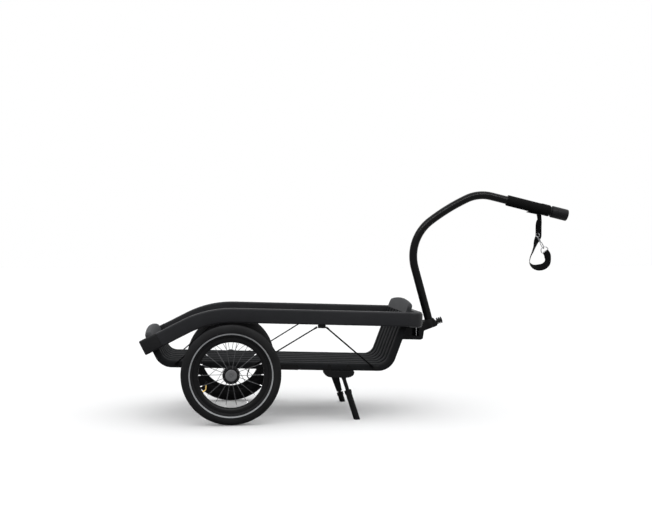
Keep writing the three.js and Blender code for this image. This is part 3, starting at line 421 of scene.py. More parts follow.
HUB_BLACK = grained("hub_black_coat", (0.010, 0.010, 0.011), 0.45, 0.5, 0.02)
NIPPLE = grained("nipple_bright", (0.62, 0.62, 0.63), 0.28, 0.3, 0.01, metallic=1.0)
STEEL = grained("polished_steel", (0.17, 0.173, 0.18), 0.28, 0.3, 0.01, metallic=1.0)
HUB_GREY = grained("hub_grey_plastic", (0.19, 0.191, 0.196), 0.5, 0.5, 0.03)
BRASS = grained("valve_brass", (0.60, 0.41, 0.13), 0.28, 0.3, 0.01, metallic=1.0)
GRIP = grained("grip_foam_rubber", (0.0105, 0.0105, 0.0105), 0.9, 0.5, 0.06, shine=0.02)
KNOB = grained("knob_nylon", (0.024, 0.024, 0.025), 0.5, 0.5, 0.04)
SOCKET = grained("socket_nylon", (0.010, 0.010, 0.0108), 0.5, 0.5, 0.04)
print(len(bpy.data.materials), "finishes")

# %% [markdown]
# Webbing is woven: fine ribs cross over it both ways. Threads of real geometry would be far too many for a
# strap this small, so the weave is two crossed waves in the object's own metres, raised by a bump over a
# black polyester with a faint sheen.


# %% Webbing finish
WEAVE_PITCH, WEAVE_DEPTH, WEAVE_STRENGTH, WEAVE_WANDER = 1.4, 0.35, 0.8, 0.6
WEAVE_DARK, WEAVE_LIGHT, WEAVE_RANGE = 0.6, 1.8, (0.1, 0.9)


def math_node(tree, operation, *values):
    """A maths node, whose inputs are sockets or plain numbers."""
    node = tree.nodes.new("ShaderNodeMath")
    node.operation = operation
    for socket, value in zip(node.inputs, values):
        if isinstance(value, float):
            socket.default_value = value
        else:
            tree.links.new(value, socket)
    return node.outputs[0]


def woven(name, colour, roughness, shine):
    material = new_finish(name, colour, roughness, shine=shine)
    tree = material.node_tree
    place = object_metres(material)
    waves = []
    for direction in ("Y", "Z"):
        wave = tree.nodes.new("ShaderNodeTexWave")
        wave.bands_direction = direction
        wave.inputs["Scale"].default_value = 0.5 / (WEAVE_PITCH * MM)
        wave.inputs["Distortion"].default_value = WEAVE_WANDER
        tree.links.new(place, wave.inputs["Vector"])
        waves.append(wave.outputs["Fac"])
    weave = math_node(tree, "MULTIPLY", *waves)
    tones = [shade(colour, factor) for factor in (WEAVE_DARK, WEAVE_LIGHT)]
    threads = ramp(material, weave, *tones, *WEAVE_RANGE)
    tree.links.new(threads, tree.nodes["Principled BSDF"].inputs["Base Color"])
    relief(material, weave, WEAVE_DEPTH, WEAVE_STRENGTH)
    return material


WEBBING = woven("strap_webbing_weave", (0.006, 0.006, 0.0065), 0.85, 0.05)
print("weave of", WEAVE_PITCH, "mm")

# %% [markdown]
# The side rail is one extruded bar: straight from the front corner, bent down behind the wheel, and
# straight to its tail. A bent box would flatten in the bend, so the bar is swept along a run of a straight,
# an arc and a straight, and its section has round corners. The end cap slips over the tail as a slightly
# larger sleeve, so a fine step shows where they meet.

# %% Side rails and end caps
RAIL_WIDTH, RAIL_HEIGHT, RAIL_CORNER, LEAST_CORNER = 30.0, 60.0, 7.0, 0.8
RAIL_TOP, RAIL_CLEARANCE, TRAY_HALF = 264.7, 4.9, 229.1
RAIL_BEND_START, RAIL_BEND_RADIUS, RAIL_BEND = 8.0, 422.0, math.radians(28.5)
RAIL_TAIL, END_CAP_LENGTH, CAP_LIP, CAP_NOSE = 113.0, 77.0, 1.0, 3.0
CORNER_START, SEAT_GAP = 732.0, 0.3

rail_low = RAIL_TOP - RAIL_HEIGHT
rail_axis = RAIL_TOP - RAIL_HEIGHT / 2
rail_middle = TRAY_HALF + RAIL_CLEARANCE + RAIL_WIDTH / 2
tail_x = RAIL_BEND_START - RAIL_BEND_RADIUS * math.sin(RAIL_BEND) - RAIL_TAIL * math.cos(RAIL_BEND)
tail_z = rail_axis - RAIL_BEND_RADIUS * (1 - math.cos(RAIL_BEND)) - RAIL_TAIL * math.sin(RAIL_BEND)


def rail_section(inset=0.0, lip=0.0):
    grow = 2 * (lip - inset)
    radius = max(RAIL_CORNER + lip - inset, LEAST_CORNER)
    return round_corners(RAIL_WIDTH + grow, RAIL_HEIGHT + grow, [radius] * 4, 5)


rail_run = side_run(tail_x, tail_z, RAIL_BEND, [
    RAIL_TAIL,
    (RAIL_BEND_RADIUS, -RAIL_BEND, 24),
    CORNER_START - SEAT_GAP - RAIL_BEND_START,
])
cap_reaches = (CAP_NOSE - END_CAP_LENGTH, -SEAT_GAP - CAP_NOSE)
cap_run = [moved_on((tail_x, tail_z, RAIL_BEND), reach) for reach in cap_reaches]
for name, side in SIDES.items():
    y = side * rail_middle
    bar = ring_skin(swept_bar(rail_run, y, rail_section))
    add_piece(f"rail_{name}", [bar], RAIL, "rail", (f"side_rail_{name}",))
    sleeve = ring_skin(swept_bar(cap_run, y, lambda inset: rail_section(inset, CAP_LIP), CAP_NOSE))
    add_piece(f"end_cap_{name}", [sleeve], CAP, "end_cap", (f"rear_end_cap_{name}",))
print("rail stations:", len(rail_run))

# %% [markdown]
# The front corners are castings: a quarter bend in plan that is a little deeper than the rail and grows
# rounder towards the front. A thin bead runs along its lower outer edge, and its pale finish is a painted
# highlight where the round edge catches the light. A plain bend could be turned, but here the section
# changes on the way, so each is lofted in plan, ring by ring. The cross rail between them has the rail's
# own section.

# %% Front corners and cross rail
FRONT_FACE, PLAN_RADIUS, CORNER_RUN, CORNER_DROP, CORNER_STEPS = 794.0, 50.0, 12.0, 4.0, 14
CASTING_ROUND, CASTING_FRONT_ROUND, BEAD_RADIUS, BEAD_SINK = 6.5, 12.0, 1.1, 0.4
FIRST_TURN_SHARE, FIRST_DROP_SHARE = 0.3, 0.35
corner_middle = PLAN_RADIUS - RAIL_WIDTH / 2
bend_x = FRONT_FACE - PLAN_RADIUS
bend_y = rail_middle - corner_middle
cross_x = FRONT_FACE - RAIL_WIDTH / 2


def plan_ring(x, y, angle, section):
    """A section of (up, across) points square to a path in plan that heads along angle."""
    return [(x - across * math.sin(angle), y + across * math.cos(angle), up) for up, across in section]


def corner_rings(side, section_at):
    """The rings of a front corner: section_at gives the section for a share of the way along it."""
    rings = [plan_ring(CORNER_START, side * rail_middle, 0, section_at(0))]
    for step in range(CORNER_STEPS + 1):
        turn = math.pi / 2 * step / CORNER_STEPS
        x = bend_x + corner_middle * math.sin(turn)
        y = side * (bend_y + corner_middle * math.cos(turn))
        section = section_at(min(1.0, FIRST_TURN_SHARE + step / CORNER_STEPS))
        rings.append(plan_ring(x, y, -side * turn, section))
    rings.append(plan_ring(cross_x, side * (bend_y - CORNER_RUN), -side * math.pi / 2, section_at(1)))
    return rings


def casting_form(share):
    """The radius of a corner's edges, and the height of its foot."""
    radius = CASTING_ROUND + (CASTING_FRONT_ROUND - CASTING_ROUND) * share
    return radius, rail_low - CORNER_DROP * min(1.0, FIRST_DROP_SHARE + share)


def casting_section(share):
    radius, low = casting_form(share)
    middle = (low + RAIL_TOP) / 2
    ring = round_corners(RAIL_TOP - low, RAIL_WIDTH, [radius] * 4, 6)
    return [(up + middle, across) for up, across in ring]


def highlight_bead_section(side):
    """A thin bead along the casting's lower outer edge, whose pale finish is a painted highlight."""
    def section(share):
        radius, low = casting_form(share)
        inset = radius * (1 - math.sqrt(0.5)) + BEAD_RADIUS * BEAD_SINK
        return [(low + inset + a, side * (RAIL_WIDTH / 2 - inset) + b) for a, b in circle(BEAD_RADIUS, 8)]
    return section


for name, side in SIDES.items():
    body = ring_skin(corner_rings(side, casting_section))
    add_piece(f"corner_{name}", [body], CORNER, "corner", (f"front_corner_{name}",))
    # The bead's pale finish is a painted highlight on the casting's lower edge.
    bead = ring_skin(corner_rings(side, highlight_bead_section(side)))
    add_piece(f"corner_highlight_bead_{name}", [bead], CORNER_HIGHLIGHT, "corner")
cross_half = bend_y - CORNER_RUN - SEAT_GAP
cross_section = [(up + rail_axis, across) for across, up in rail_section()]
cross_rings = [plan_ring(cross_x, y, math.pi / 2, cross_section) for y in (-cross_half, cross_half)]
add_piece("cross_rail", [ring_skin(cross_rings)], RAIL, "rail", ("front_cross_rail",))
print("front face at", FRONT_FACE, "mm from the axle")

# %% [markdown]
# The tray is seven long ribs that run down the rear wall, along the floor and up the front wall. One sheet
# with slots cut in it would need a cut at every bend, so each rib is a bar of its own on one shared run of
# two walls and two bends. The outer ribs have a wide round on their upper outer edge, which catches the
# light along the side.

# %% Tray ribs
MEMBER_WIDTH, MEMBER_GAP, TRAY_THICKNESS = 46.0, 22.7, 28.5
MEMBER_ROUND, OUTER_ROUND = 3.2, 9.5
FLOOR_BOTTOM, FLOOR_START, FLOOR_LENGTH, TRAY_BEND_RADIUS = 14.7, -242.0, 852.0, 76.0
REAR_LEAN, FRONT_LEAN = math.radians(28), math.radians(19)
REAR_WALL, FRONT_WALL = 71.7, 196.0
SLATS = 5
member_pitch = MEMBER_WIDTH + MEMBER_GAP
bend_middle = TRAY_BEND_RADIUS - TRAY_THICKNESS / 2
floor_middle = FLOOR_BOTTOM + TRAY_THICKNESS / 2

tray_run = side_run(
    FLOOR_START - bend_middle * math.cos(REAR_LEAN) - REAR_WALL * math.sin(REAR_LEAN),
    floor_middle + bend_middle * (1 - math.sin(REAR_LEAN)) + REAR_WALL * math.cos(REAR_LEAN),
    REAR_LEAN - math.pi / 2,
    [
        REAR_WALL,
        (bend_middle, math.pi / 2 - REAR_LEAN, 14),
        FLOOR_LENGTH,
        (bend_middle, math.pi / 2 - FRONT_LEAN, 16),
        FRONT_WALL,
    ],
)


def member_section(outer):
    """A rib's section: soft edges, and a wide round on the outer top edge of a side rib."""
    tops = [OUTER_ROUND if outer * way > 0 else MEMBER_ROUND for way in (1, -1)]
    return round_corners(MEMBER_WIDTH, TRAY_THICKNESS, [*tops, MEMBER_ROUND, MEMBER_ROUND])


middle_slat, side_place = (SLATS - 1) // 2, (SLATS + 1) // 2
ribs = [(f"rib_{i + 1}", i - middle_slat, 0, f"tray_slat_{i + 1}") for i in range(SLATS)]
ribs += [(f"side_rib_{name}", side * side_place, side, f"tray_side_{name}") for name, side in SIDES.items()]
for name, index, outer, node in ribs:
    rings = [station_ring(station, index * member_pitch, member_section(outer)) for station in tray_run]
    add_piece(name, [ring_skin(rings)], TRAY, "tray", (node,))
print(len(ribs), "ribs at a pitch of", member_pitch, "mm")

# %% [markdown]
# Each side rib carries a black socket plate on its outer face, behind the stand. A dark strip along its
# foot and two ears that rise from the ends of the stand's block are painted shade: thin black plates
# where the rib's recess and cut-outs lie in shadow. Colour alone would do from far away, but thin plates
# a hair proud of the rib also give each its own edge.

# %% Side fittings and painted shade
FITTING_PROUD, RECESS_SHADE_PROUD, FITTING_SEAT = 0.45, 0.3, 0.4
PLATE_OUTLINE = [(205, 13.2), (277, 13.2), (277, 30), (271, 35.5), (212, 35.5), (205, 29)]
# The dark strip and the two ears are painted shade: black plates where the rib's recess and cut-outs lie in
# shadow.
RECESS_SHADE_OUTLINE = [(282, 14.0), (400, 14.0), (393, 20.5), (289, 20.5)]
CUTOUT_SHADE_OUTLINE = [(0, 14.2), (21, 14.2), (13, 38.5), (4, 38.5), (0, 33)]
REAR_CUTOUT_SHADE, FRONT_CUTOUT_SHADE = 397.0, 493.0
plates = [(PLATE_OUTLINE, FITTING_PROUD), (RECESS_SHADE_OUTLINE, RECESS_SHADE_PROUD)]
for start, way in ((REAR_CUTOUT_SHADE, 1), (FRONT_CUTOUT_SHADE, -1)):
    plates.append(([(start + way * x, z) for x, z in CUTOUT_SHADE_OUTLINE], FITTING_PROUD))
for name, side in SIDES.items():
    face = side * TRAY_HALF
    back = face - side * FITTING_SEAT
    skins = [slab_skin(outline, back, face + side * proud) for outline, proud in plates]
    add_piece(f"side_fittings_and_painted_shade_{name}", skins, TRIM, "trim")
print("fittings on the side ribs' faces at", TRAY_HALF, "mm")

# %% [markdown]
# Each wall ends in a header: a plate that closes the slots and is arched across the width, so the ends of
# the tray look like low humps from the side. It could be a bent box, but its top also rounds over at both
# ends. So a ring of its section is carried across the width, and the ring's top rises and falls.


# %% Tray headers
HEADER_STATIONS, HEADER_CORNER, LIP_STEPS, LIP_FLATNESS = 72, 17.0, 8, 2.6
FOOT_EASE_IN, FOOT_EASE_UP, TAPER_OUT, TAPER_EASE = 1.2, 3.0, 1.0, 2.0
FRONT_FORM = {"crown": 58.0, "end": 42.5, "foot": 8.0, "taper": 20.0, "plate": 19.0}
REAR_FORM = {"crown": 48.0, "end": 32.0, "foot": 6.0, "taper": 16.0, "plate": 28.0}
HEADERS = {
    "front": (tray_run[-1], FRONT_LEAN, 1, FRONT_FORM),
    "rear": (tray_run[0], -REAR_LEAN, -1, REAR_FORM),
}


def header_top(y, crown, end):
    """The height of the arch, rounded over at its ends."""
    sagitta = crown - end
    radius = (TRAY_HALF ** 2 + sagitta ** 2) / (2 * sagitta)
    top = crown - radius + math.sqrt(radius ** 2 - y ** 2)
    over = max(abs(y) - (TRAY_HALF - HEADER_CORNER), 0.0)
    return top - HEADER_CORNER + math.sqrt(max(HEADER_CORNER ** 2 - over ** 2, 0.0))


def header_rings(outward, crown, end, foot, taper, plate):
    """A thick foot that tapers to a plate with a round lip: crown and end are the arch's heights."""
    half = TRAY_THICKNESS / 2
    outer = plate - half
    rings = []
    for i in range(HEADER_STATIONS + 1):
        y = -math.cos(math.pi * i / HEADER_STATIONS) * TRAY_HALF
        top = header_top(y, crown, end)
        ring = [(half, SEAT_GAP), (half, foot), (half - FOOT_EASE_IN, foot + FOOT_EASE_UP),
                (outer + TAPER_OUT, taper - TAPER_EASE), (outer, taper + TAPER_EASE)]
        for k in range(LIP_STEPS + 1):
            turn = math.pi * k / LIP_STEPS
            across = (outer - half) / 2 + plate / 2 * math.cos(turn)
            ring.append((across, top - plate / LIP_FLATNESS * (1 - math.sin(turn))))
        ring += [(-half, taper), (-half, SEAT_GAP)]
        rings.append([(across * outward, y, up) for across, up in ring])
    return rings


for name, ((x, z, _), lean, outward, form) in HEADERS.items():
    place = CHASSIS @ Matrix.Translation((x, 0, z)) @ Matrix.Rotation(lean, 4, "Y")
    skin = ring_skin(header_rings(outward, **form))
    add_piece(f"header_{name}", [skin], HEADER, "tray", (f"tray_{name}_header",), place)
    print(name, "header rises to", told(place @ Vector((0, 0, form["crown"])))[2], "m")

# %% [markdown]
# Thin taut cables brace the rails against the tray. A slack cable would need a curve and its own weight,
# but these are pulled straight, so each is a straight rod with a crimped ferrule at either end. A clip
# under the rail and an anchor on the side rib hold them.

# %% Brace cables, clips and anchors
CABLE_RADIUS, FERRULE_RADIUS, FERRULE_LENGTH = 2.8, 4.2, 16.0
FERRULE_SHARE, NECK_SHARE, NECK_WIDTH_SHARE, NECK_LIP = 0.7, 0.66, 0.8, 0.6
FERRULE_ROUNDING, NECK_ROUNDING, FERRULE_SEAT_SHARE, RAIL_SEATS = 0.8, 0.4, 0.7, 3
CLIP_HALF, CLIP_CENTRE, CLIP_HEIGHT = 16.0, 367.0, 14.0
ANCHOR_CENTRE, ANCHOR_HALF = 601.0, 11.0
MIDDLE_FOOT, REAR_TOP, REAR_FOOT, FITTING_EDGE = (96.0, 32.0), -52.0, (-228.0, 29.0), 2.0
clip_z = rail_low - SEAT_GAP - CLIP_HEIGHT / 2 - CABLE_RADIUS
clip_reach = CLIP_HALF + FERRULE_SEAT_SHARE * FERRULE_RADIUS
rear_top_z = rail_low - RAIL_SEATS * FERRULE_RADIUS


def cable_skins(start, end):
    """A straight cable, with a ferrule and its narrower neck at either end."""
    start, end = Vector(start), Vector(end)
    way = (end - start).normalized() * FERRULE_LENGTH
    skins = [rod_skin(start, end, CABLE_RADIUS, 14)]
    for foot, out in ((start, way), (end, -way)):
        crimp, neck, tip = foot + out * FERRULE_SHARE, foot + out * NECK_SHARE, foot + out
        neck_radii = FERRULE_RADIUS * NECK_WIDTH_SHARE, CABLE_RADIUS + NECK_LIP
        skins.append(rod_skin(foot, crimp, FERRULE_RADIUS, 18, rounding=FERRULE_ROUNDING))
        skins.append(rod_skin(neck, tip, neck_radii[0], 18, neck_radii[1], NECK_ROUNDING))
    return skins


for name, side in SIDES.items():
    rail, tray = side * rail_middle, side * (TRAY_HALF + SEAT_GAP + FERRULE_RADIUS)
    front_foot = (ANCHOR_CENTRE - ANCHOR_HALF - FERRULE_RADIUS, tray, floor_middle + FERRULE_RADIUS)
    routes = {
        "front": ((CLIP_CENTRE + clip_reach, rail, clip_z), front_foot),
        "middle": ((CLIP_CENTRE - clip_reach, rail, clip_z), (MIDDLE_FOOT[0], tray, MIDDLE_FOOT[1])),
        "rear": ((REAR_TOP, rail, rear_top_z), (REAR_FOOT[0], tray, REAR_FOOT[1])),
    }
    for part, (start, end) in routes.items():
        nodes = (f"brace_cable_{part}_{name}",)
        add_piece(f"cable_{part}_{name}", cable_skins(start, end), CABLE, "cable", nodes)
    dress_solid(f"rail_clip_{name}", f"clip_{name}", TRIM, FITTING_EDGE)
    dress_solid(f"tray_anchor_{name}", f"anchor_{name}", TRIM, FITTING_EDGE)
print("cables to a side:", len(routes))

# %% [markdown]
# Under the floor a round beam carries the wheels. The quick release pin of each wheel plugs into its end,
# and the push button in the hub's middle frees it. Cylinders could be stacked for these, but a turned
# profile gives each its eased edges and its bore in one closed skin.

# %% Axle beam, pins and buttons
BEAM_RADIUS, BEAM_HALF, BEAM_EASE, PIN_PLAY = 14.4, 300.0, 0.8, 0.4
PIN_RADIUS, PIN_GRIP, PIN_EASE, PIN_BORE, PIN_BORE_DEPTH, PIN_CORE = 6.3, 60.0, 0.6, 3.6, 13.6, 0.4
HUB_HALF, BUTTON_REST, NECK_SETBACK = 19.0, 3.3, 6.0
BUTTON_HEAD = [(3.0, 0), (5.0, 0), (5.6, 0.6), (5.6, 2.6), (5.0, 3.3), (3.0, 3.6), (0.2, 3.4)]
BUTTON_STEM = [(0.2, -10), (3.0, -10)]


def shifted(profile, start):
    """A (radius, along) profile moved along its axis."""
    return [(radius, start + along) for radius, along in profile]


def on_axle(name):
    """The place of a piece on the chassis at the end of the axle."""
    return CHASSIS @ Matrix.Translation((0, SIDES[name] * TRACK / 2, 0))


beam_end = [(BEAM_RADIUS, BEAM_HALF - BEAM_EASE), (BEAM_RADIUS - BEAM_EASE, BEAM_HALF),
            (PIN_RADIUS + PIN_PLAY, BEAM_HALF)]
beam_profile = beam_end + [(radius, -along) for radius, along in reversed(beam_end)]
add_piece("beam", [turned_skin(beam_profile, count=40)], CASTING, "casting", ("axle_beam",))
pin_reach = TRACK / 2 - BEAM_HALF + PIN_GRIP
pin_profile = [
    (PIN_RADIUS, -pin_reach), (PIN_RADIUS, HUB_HALF - PIN_EASE), (PIN_RADIUS - PIN_EASE, HUB_HALF),
    (PIN_BORE, HUB_HALF), (PIN_BORE, HUB_HALF - PIN_BORE_DEPTH), (PIN_CORE, HUB_HALF - PIN_BORE_DEPTH),
    (PIN_CORE, -pin_reach),
]
button_profile = shifted(BUTTON_STEM, HUB_HALF) + shifted(BUTTON_HEAD, HUB_HALF + BUTTON_REST)
for name, side in SIDES.items():
    pin = turned_skin(pin_profile, side, 32)
    add_piece(f"pin_{name}", [pin], STEEL, "steel", (f"axle_pin_{name}",), on_axle(name))
    button = turned_skin(button_profile, side, 32)
    body = f"axle_button_{name}"
    add_piece(f"button_{name}", [button], HUB_GREY, "hub_grey", (body,), on_axle(name), body)
print("beam is", 2 * BEAM_HALF, "mm long")

# %% [markdown]
# The tyre is a turned carcass, and its crown carries shallow sipes and two grooves. Cutting them out would
# leave a heavy, ragged mesh, so the points of the profile move in and out as it turns. A pale reflective
# band lies on each tyre's outer sidewall.

# %% Tyres
TREAD_COUNT, TREAD_ROWS, GROOVE_ROWS, SIPE_PITCH, CROWN_SHARP = 240, range(8, 26), (1.5, 3), 6, 50
GROOVE_DEPTH, SIPE_DEPTH = 1.3, 1.2
BAND_LOW, BAND_HIGH, BAND_SWELL = (163.6, 22.35), (168.8, 24.25), 0.2
BAND_PROUD = (0.35, 0.45, 0.3)
tyre_half = [
    (152.8, 10.0), (152.8, 14.6), (156.5, 17.8), (160.5, 20.6), (165.5, 23.2), (171.0, 24.7), (177.0, 25.0),
    (183.0, 24.0), (188.0, 22.0), (192.0, 19.4), (194.6, 16.6), (197.0, 13.2), (198.9, 9.6), (200.3, 6.0),
    (201.2, 3.4), (201.6, 2.6), (201.88, 1.4),
]
tyre_lining = [(160.0, -13.0), (178.0, -20.0), (196.0, 0.0), (178.0, 20.0), (160.0, 13.0)]
tyre_profile = tyre_half + [(radius, -outward) for radius, outward in reversed(tyre_half)] + tyre_lining


def on_wheel(name):
    """The upright place and the body of a piece that turns with a wheel."""
    middle = AXLE + Vector((0, SIDES[name] * TRACK / 2 * MM, 0))
    return {"place": Matrix.Translation(middle) @ SCALE, "body": f"wheel_{name}"}


def tread(i, j):
    """The depth of the sipes and grooves in the crown."""
    from_middle = abs(j - (TREAD_ROWS.start + TREAD_ROWS.stop - 1) / 2)
    if j not in TREAD_ROWS:
        return 0.0
    if GROOVE_ROWS[0] < from_middle < GROOVE_ROWS[1]:
        return -GROOVE_DEPTH
    on_sipe = (i + int(from_middle)) % SIPE_PITCH == 0
    return -SIPE_DEPTH if on_sipe and from_middle > GROOVE_ROWS[1] else 0.0


band_middle = ((BAND_LOW[0] + BAND_HIGH[0]) / 2, (BAND_LOW[1] + BAND_HIGH[1]) / 2 + BAND_SWELL)
raised = [(spot[0], spot[1] + proud) for spot, proud in zip((BAND_LOW, band_middle, BAND_HIGH), BAND_PROUD)]
band_profile = [BAND_LOW, *raised, BAND_HIGH]
for name, side in SIDES.items():
    carcass = turned_skin(tyre_profile, side, TREAD_COUNT, tread)
    wheel = on_wheel(name)
    add_piece(f"tyre_skin_{name}", [carcass], RUBBER, "tyre", (f"tyre_{name}",), **wheel, sharp=CROWN_SHARP)
    band = turned_skin(band_profile, side, 160)
    add_piece(f"tyre_band_{name}", [band], REFLECTIVE, "tyre", **wheel)
print("tyre radius", round(AXLE.z / MM, 2), "mm")

# %% [markdown]
# The rim is a hollow box with a bead seat on either side. Eighteen spokes run straight out from the hub,
# nine to a flange, and each ends in a bright nipple at the rim. An array modifier could repeat one spoke,
# but the two flanges are half a step apart and lean opposite ways, so a loop places every one. The
# profiles are lists of (radius, outward) in millimetres.

# %% Rims, spokes and hubs
SPOKES, SPOKE_RADIUS, SPOKE_INSET, SPOKE_RIM_REACH = 9, 1.15, 4.0, 1.2
HEAD_RADIUS, HEAD_SEAT, HEAD_PROUD = 2.1, 1.0, 1.9
NIPPLE_LENGTH, NIPPLE_RADIUS, NIPPLE_TIP_RADIUS, NIPPLE_SEAT = 9, 1.75, 2.3, 0.9
HEAD_ROUNDING, NIPPLE_ROUNDING, RIM_DIP = 0.5, 0.3, 0.4
FLANGE_RADIUS, FLANGE_OUT, RIM_HOLE = 35.0, 15.5, 132.0
rim_half = [
    (RIM_HOLE, 6.0), (133.6, 8.2), (139.0, 11.6), (142.0, 12.4), (151.6, 12.5), (152.4, 11.8), (152.2, 9.6),
    (145.4, 7.4),
]
rim_profile = [(radius, -outward) for radius, outward in rim_half] + [(145.0, 0.0)]
rim_profile += [*reversed(rim_half), (RIM_HOLE - RIM_DIP, 0.0)]
hub_profile = [
    (7.0, -HUB_HALF), (16.0, -HUB_HALF), (17.0, -18.2), (17.0, -17.2), (33.6, -17.0), (35.0, -16.4),
    (35.0, -14.6), (33.6, -14.0), (22.0, -14.0), (16.0, -11.0), (15.0, -8.0), (15.0, 8.0),
    (17.0, HUB_HALF - NECK_SETBACK), (17.0, HUB_HALF), (7.0, HUB_HALF),
]
flange_profile = [
    (17.4, 14.0), (33.6, 14.0), (35.0, 14.6), (35.0, 16.4), (33.6, 17.0), (26.0, 17.0), (25.2, 16.6),
    (24.6, 17.0), (17.4, 17.0),
]
cap_profile = [
    (6.4, 19.3), (23.3, 19.3), (23.5, 19.8), (23.5, 21.4), (23.0, 22.6), (21.6, 23.4), (18.0, 24.0),
    (17.2, 23.5), (16.6, 23.5), (15.8, 24.0), (9.4, 24.0), (8.6, 23.4), (6.4, 23.2),
]


def spoke_skins(outward, start):
    """The spokes of one flange, with their heads, and their nipples."""
    spokes, nipples = [], []
    foot, tip = FLANGE_RADIUS - SPOKE_INSET, RIM_HOLE - NIPPLE_SEAT
    flange_y, tip_y = outward * FLANGE_OUT, outward * SPOKE_RIM_REACH
    slope = (flange_y - tip_y) / (tip - FLANGE_RADIUS)
    for i in range(SPOKES):
        angle = start + 2 * math.pi * i / SPOKES

        def at(radius, y):
            return radius * math.cos(angle), y, radius * math.sin(angle)

        def back(reach):
            return at(tip - reach, tip_y + slope * reach)

        head = [at(foot, outward * (FLANGE_OUT + rise)) for rise in (-HEAD_SEAT, HEAD_PROUD)]
        spokes.append(rod_skin(at(foot, flange_y), back(SPOKE_INSET), SPOKE_RADIUS, 10))
        spokes.append(rod_skin(*head, HEAD_RADIUS, 12, rounding=HEAD_ROUNDING))
        nipple = back(NIPPLE_LENGTH), back(0), NIPPLE_RADIUS
        nipples.append(rod_skin(*nipple, 12, NIPPLE_TIP_RADIUS, NIPPLE_ROUNDING))
    return spokes, nipples


for name, side in SIDES.items():
    wheel = on_wheel(name)
    rim = turned_skin(rim_profile, side, 128)
    add_piece(f"rim_skin_{name}", [rim], RIM, "rim", (f"rim_{name}",), **wheel)
    outer, outer_nipples = spoke_skins(side, 0.0)
    inner, inner_nipples = spoke_skins(-side, math.pi / SPOKES)
    add_piece(f"spokes_outer_{name}", outer, SPOKE, "spokes", (f"outer_spokes_{name}",), **wheel)
    add_piece(f"spokes_inner_{name}", inner, SPOKE, "spokes", (f"hub_inner_spokes_{name}",), **wheel)
    shells = [turned_skin(profile, side, 64) for profile in (flange_profile, hub_profile)]
    add_piece(f"hub_shell_{name}", shells, HUB_BLACK, "spokes", **wheel)
    add_piece(f"nipples_{name}", outer_nipples + inner_nipples, NIPPLE, "steel", **wheel)
    cap = turned_skin(cap_profile, side, 64)
    add_piece(f"hub_cap_skin_{name}", [cap], HUB_GREY, "hub_grey", (f"hub_cap_{name}",), **wheel)
print("spokes:", 2 * SPOKES, "a wheel")

# %% [markdown]
# Each valve leaves the rim between two spokes and is bent over, so that a pump can reach it: a short brass
# tube with a nut and a black cap. A bend could be a piece of a ring, but a tube through a few eased points
# takes any angle, and the far valve is turned another way than the near one.

# %% Valves
VALVE_FOOT, VALVE_STEM, VALVE_EASE, VALVE_TIP, VALVE_CAP = 131.2, 15.0, 7.0, 36.0, 17.0
VALVE_RADIUS, TUBE_RADIUS, COLLAR_HEIGHT, BEND_STEPS = 3.2, 2.5, 6.0, 6
NUT_PLACE, NUT_RADIUS, CAP_END_RADIUS = (8, 13), 3.1, 2.9
COLLAR_ROUNDING, NUT_ROUNDING, CAP_ROUNDING = 0.6, 0.3, 0.4
VALVE_BEND = math.radians(58)
VALVE_ANGLES = {"right": math.radians(210), "left": math.radians(310)}
VALVE_METALS = {"right": BRASS, "left": HUB_BLACK}


def towards_axle(angle):
    return Vector((-math.cos(angle), 0, -math.sin(angle)))


for name, side in SIDES.items():
    inward = towards_axle(VALVE_ANGLES[name])
    tipward = towards_axle(VALVE_ANGLES[name] - side * VALVE_BEND)
    base = -inward * VALVE_FOOT
    elbow = base + inward * VALVE_STEM
    straight = base + inward * (VALVE_STEM - VALVE_EASE)
    bend = [base, straight]
    for step in range(1, BEND_STEPS):
        share = step / BEND_STEPS
        before = straight + inward * VALVE_EASE * share
        after = elbow + tipward * VALVE_EASE * share
        bend.append(before.lerp(after, share))
    bend.append(elbow + tipward * (VALVE_TIP - COLLAR_HEIGHT))
    nut = [elbow + tipward * reach for reach in NUT_PLACE]
    stem = [tube_skin(bend, TUBE_RADIUS),
            rod_skin(base, base + inward * COLLAR_HEIGHT, VALVE_RADIUS, 18, rounding=COLLAR_ROUNDING),
            rod_skin(*nut, NUT_RADIUS, 6, rounding=NUT_ROUNDING)]
    wheel = on_wheel(name)
    add_piece(f"valve_stem_{name}", stem, VALVE_METALS[name], "valve", (f"valve_{name}",), **wheel)
    cap_ends = [elbow + tipward * reach for reach in (VALVE_TIP - VALVE_CAP, VALVE_TIP)]
    cap = rod_skin(*cap_ends, VALVE_RADIUS, 10, CAP_END_RADIUS, CAP_ROUNDING)
    add_piece(f"valve_cap_{name}", [cap], TRIM, "trim", **wheel)
print("valves bent over by", round(math.degrees(VALVE_BEND)), "degrees")

# %% [markdown]
# The stand hangs from a moulded block with cheeks under the side ribs. The right leg is a slim tube and
# the left one a tapered casting, and each ends in a sleeve with a clamp collar and a foot. The
# solids already have these shapes, so modelling them again would gain nothing: they are eased copies.

# %% Stand
BLOCK_EDGE, LEG_EDGE = 2.0, 1.2
dress_solid("stand_mount", "stand_block", TRIM, BLOCK_EDGE)
for name in SIDES:
    dress_solid(f"stand_leg_{name}", f"leg_{name}", CASTING, LEG_EDGE, f"stand_{name}")
    dress_solid(f"stand_foot_{name}", f"foot_{name}", TRIM, LEG_EDGE, f"stand_{name}")
print("stand pivot at", told(joints["stand_right_fold"]["pos_m"]))

# %% [markdown]
# The hitch starts at a receiver box under the cross rail, with a window and a bright pin. In front of it a
# foot casting holds the arm's lower end, and a ribbed knob pulls the lock's plunger. The two blocks are
# eased copies of their solids. The knob's ribs are finer than its solid, so it is lofted from rings along
# its own axis, which leans with the arm.

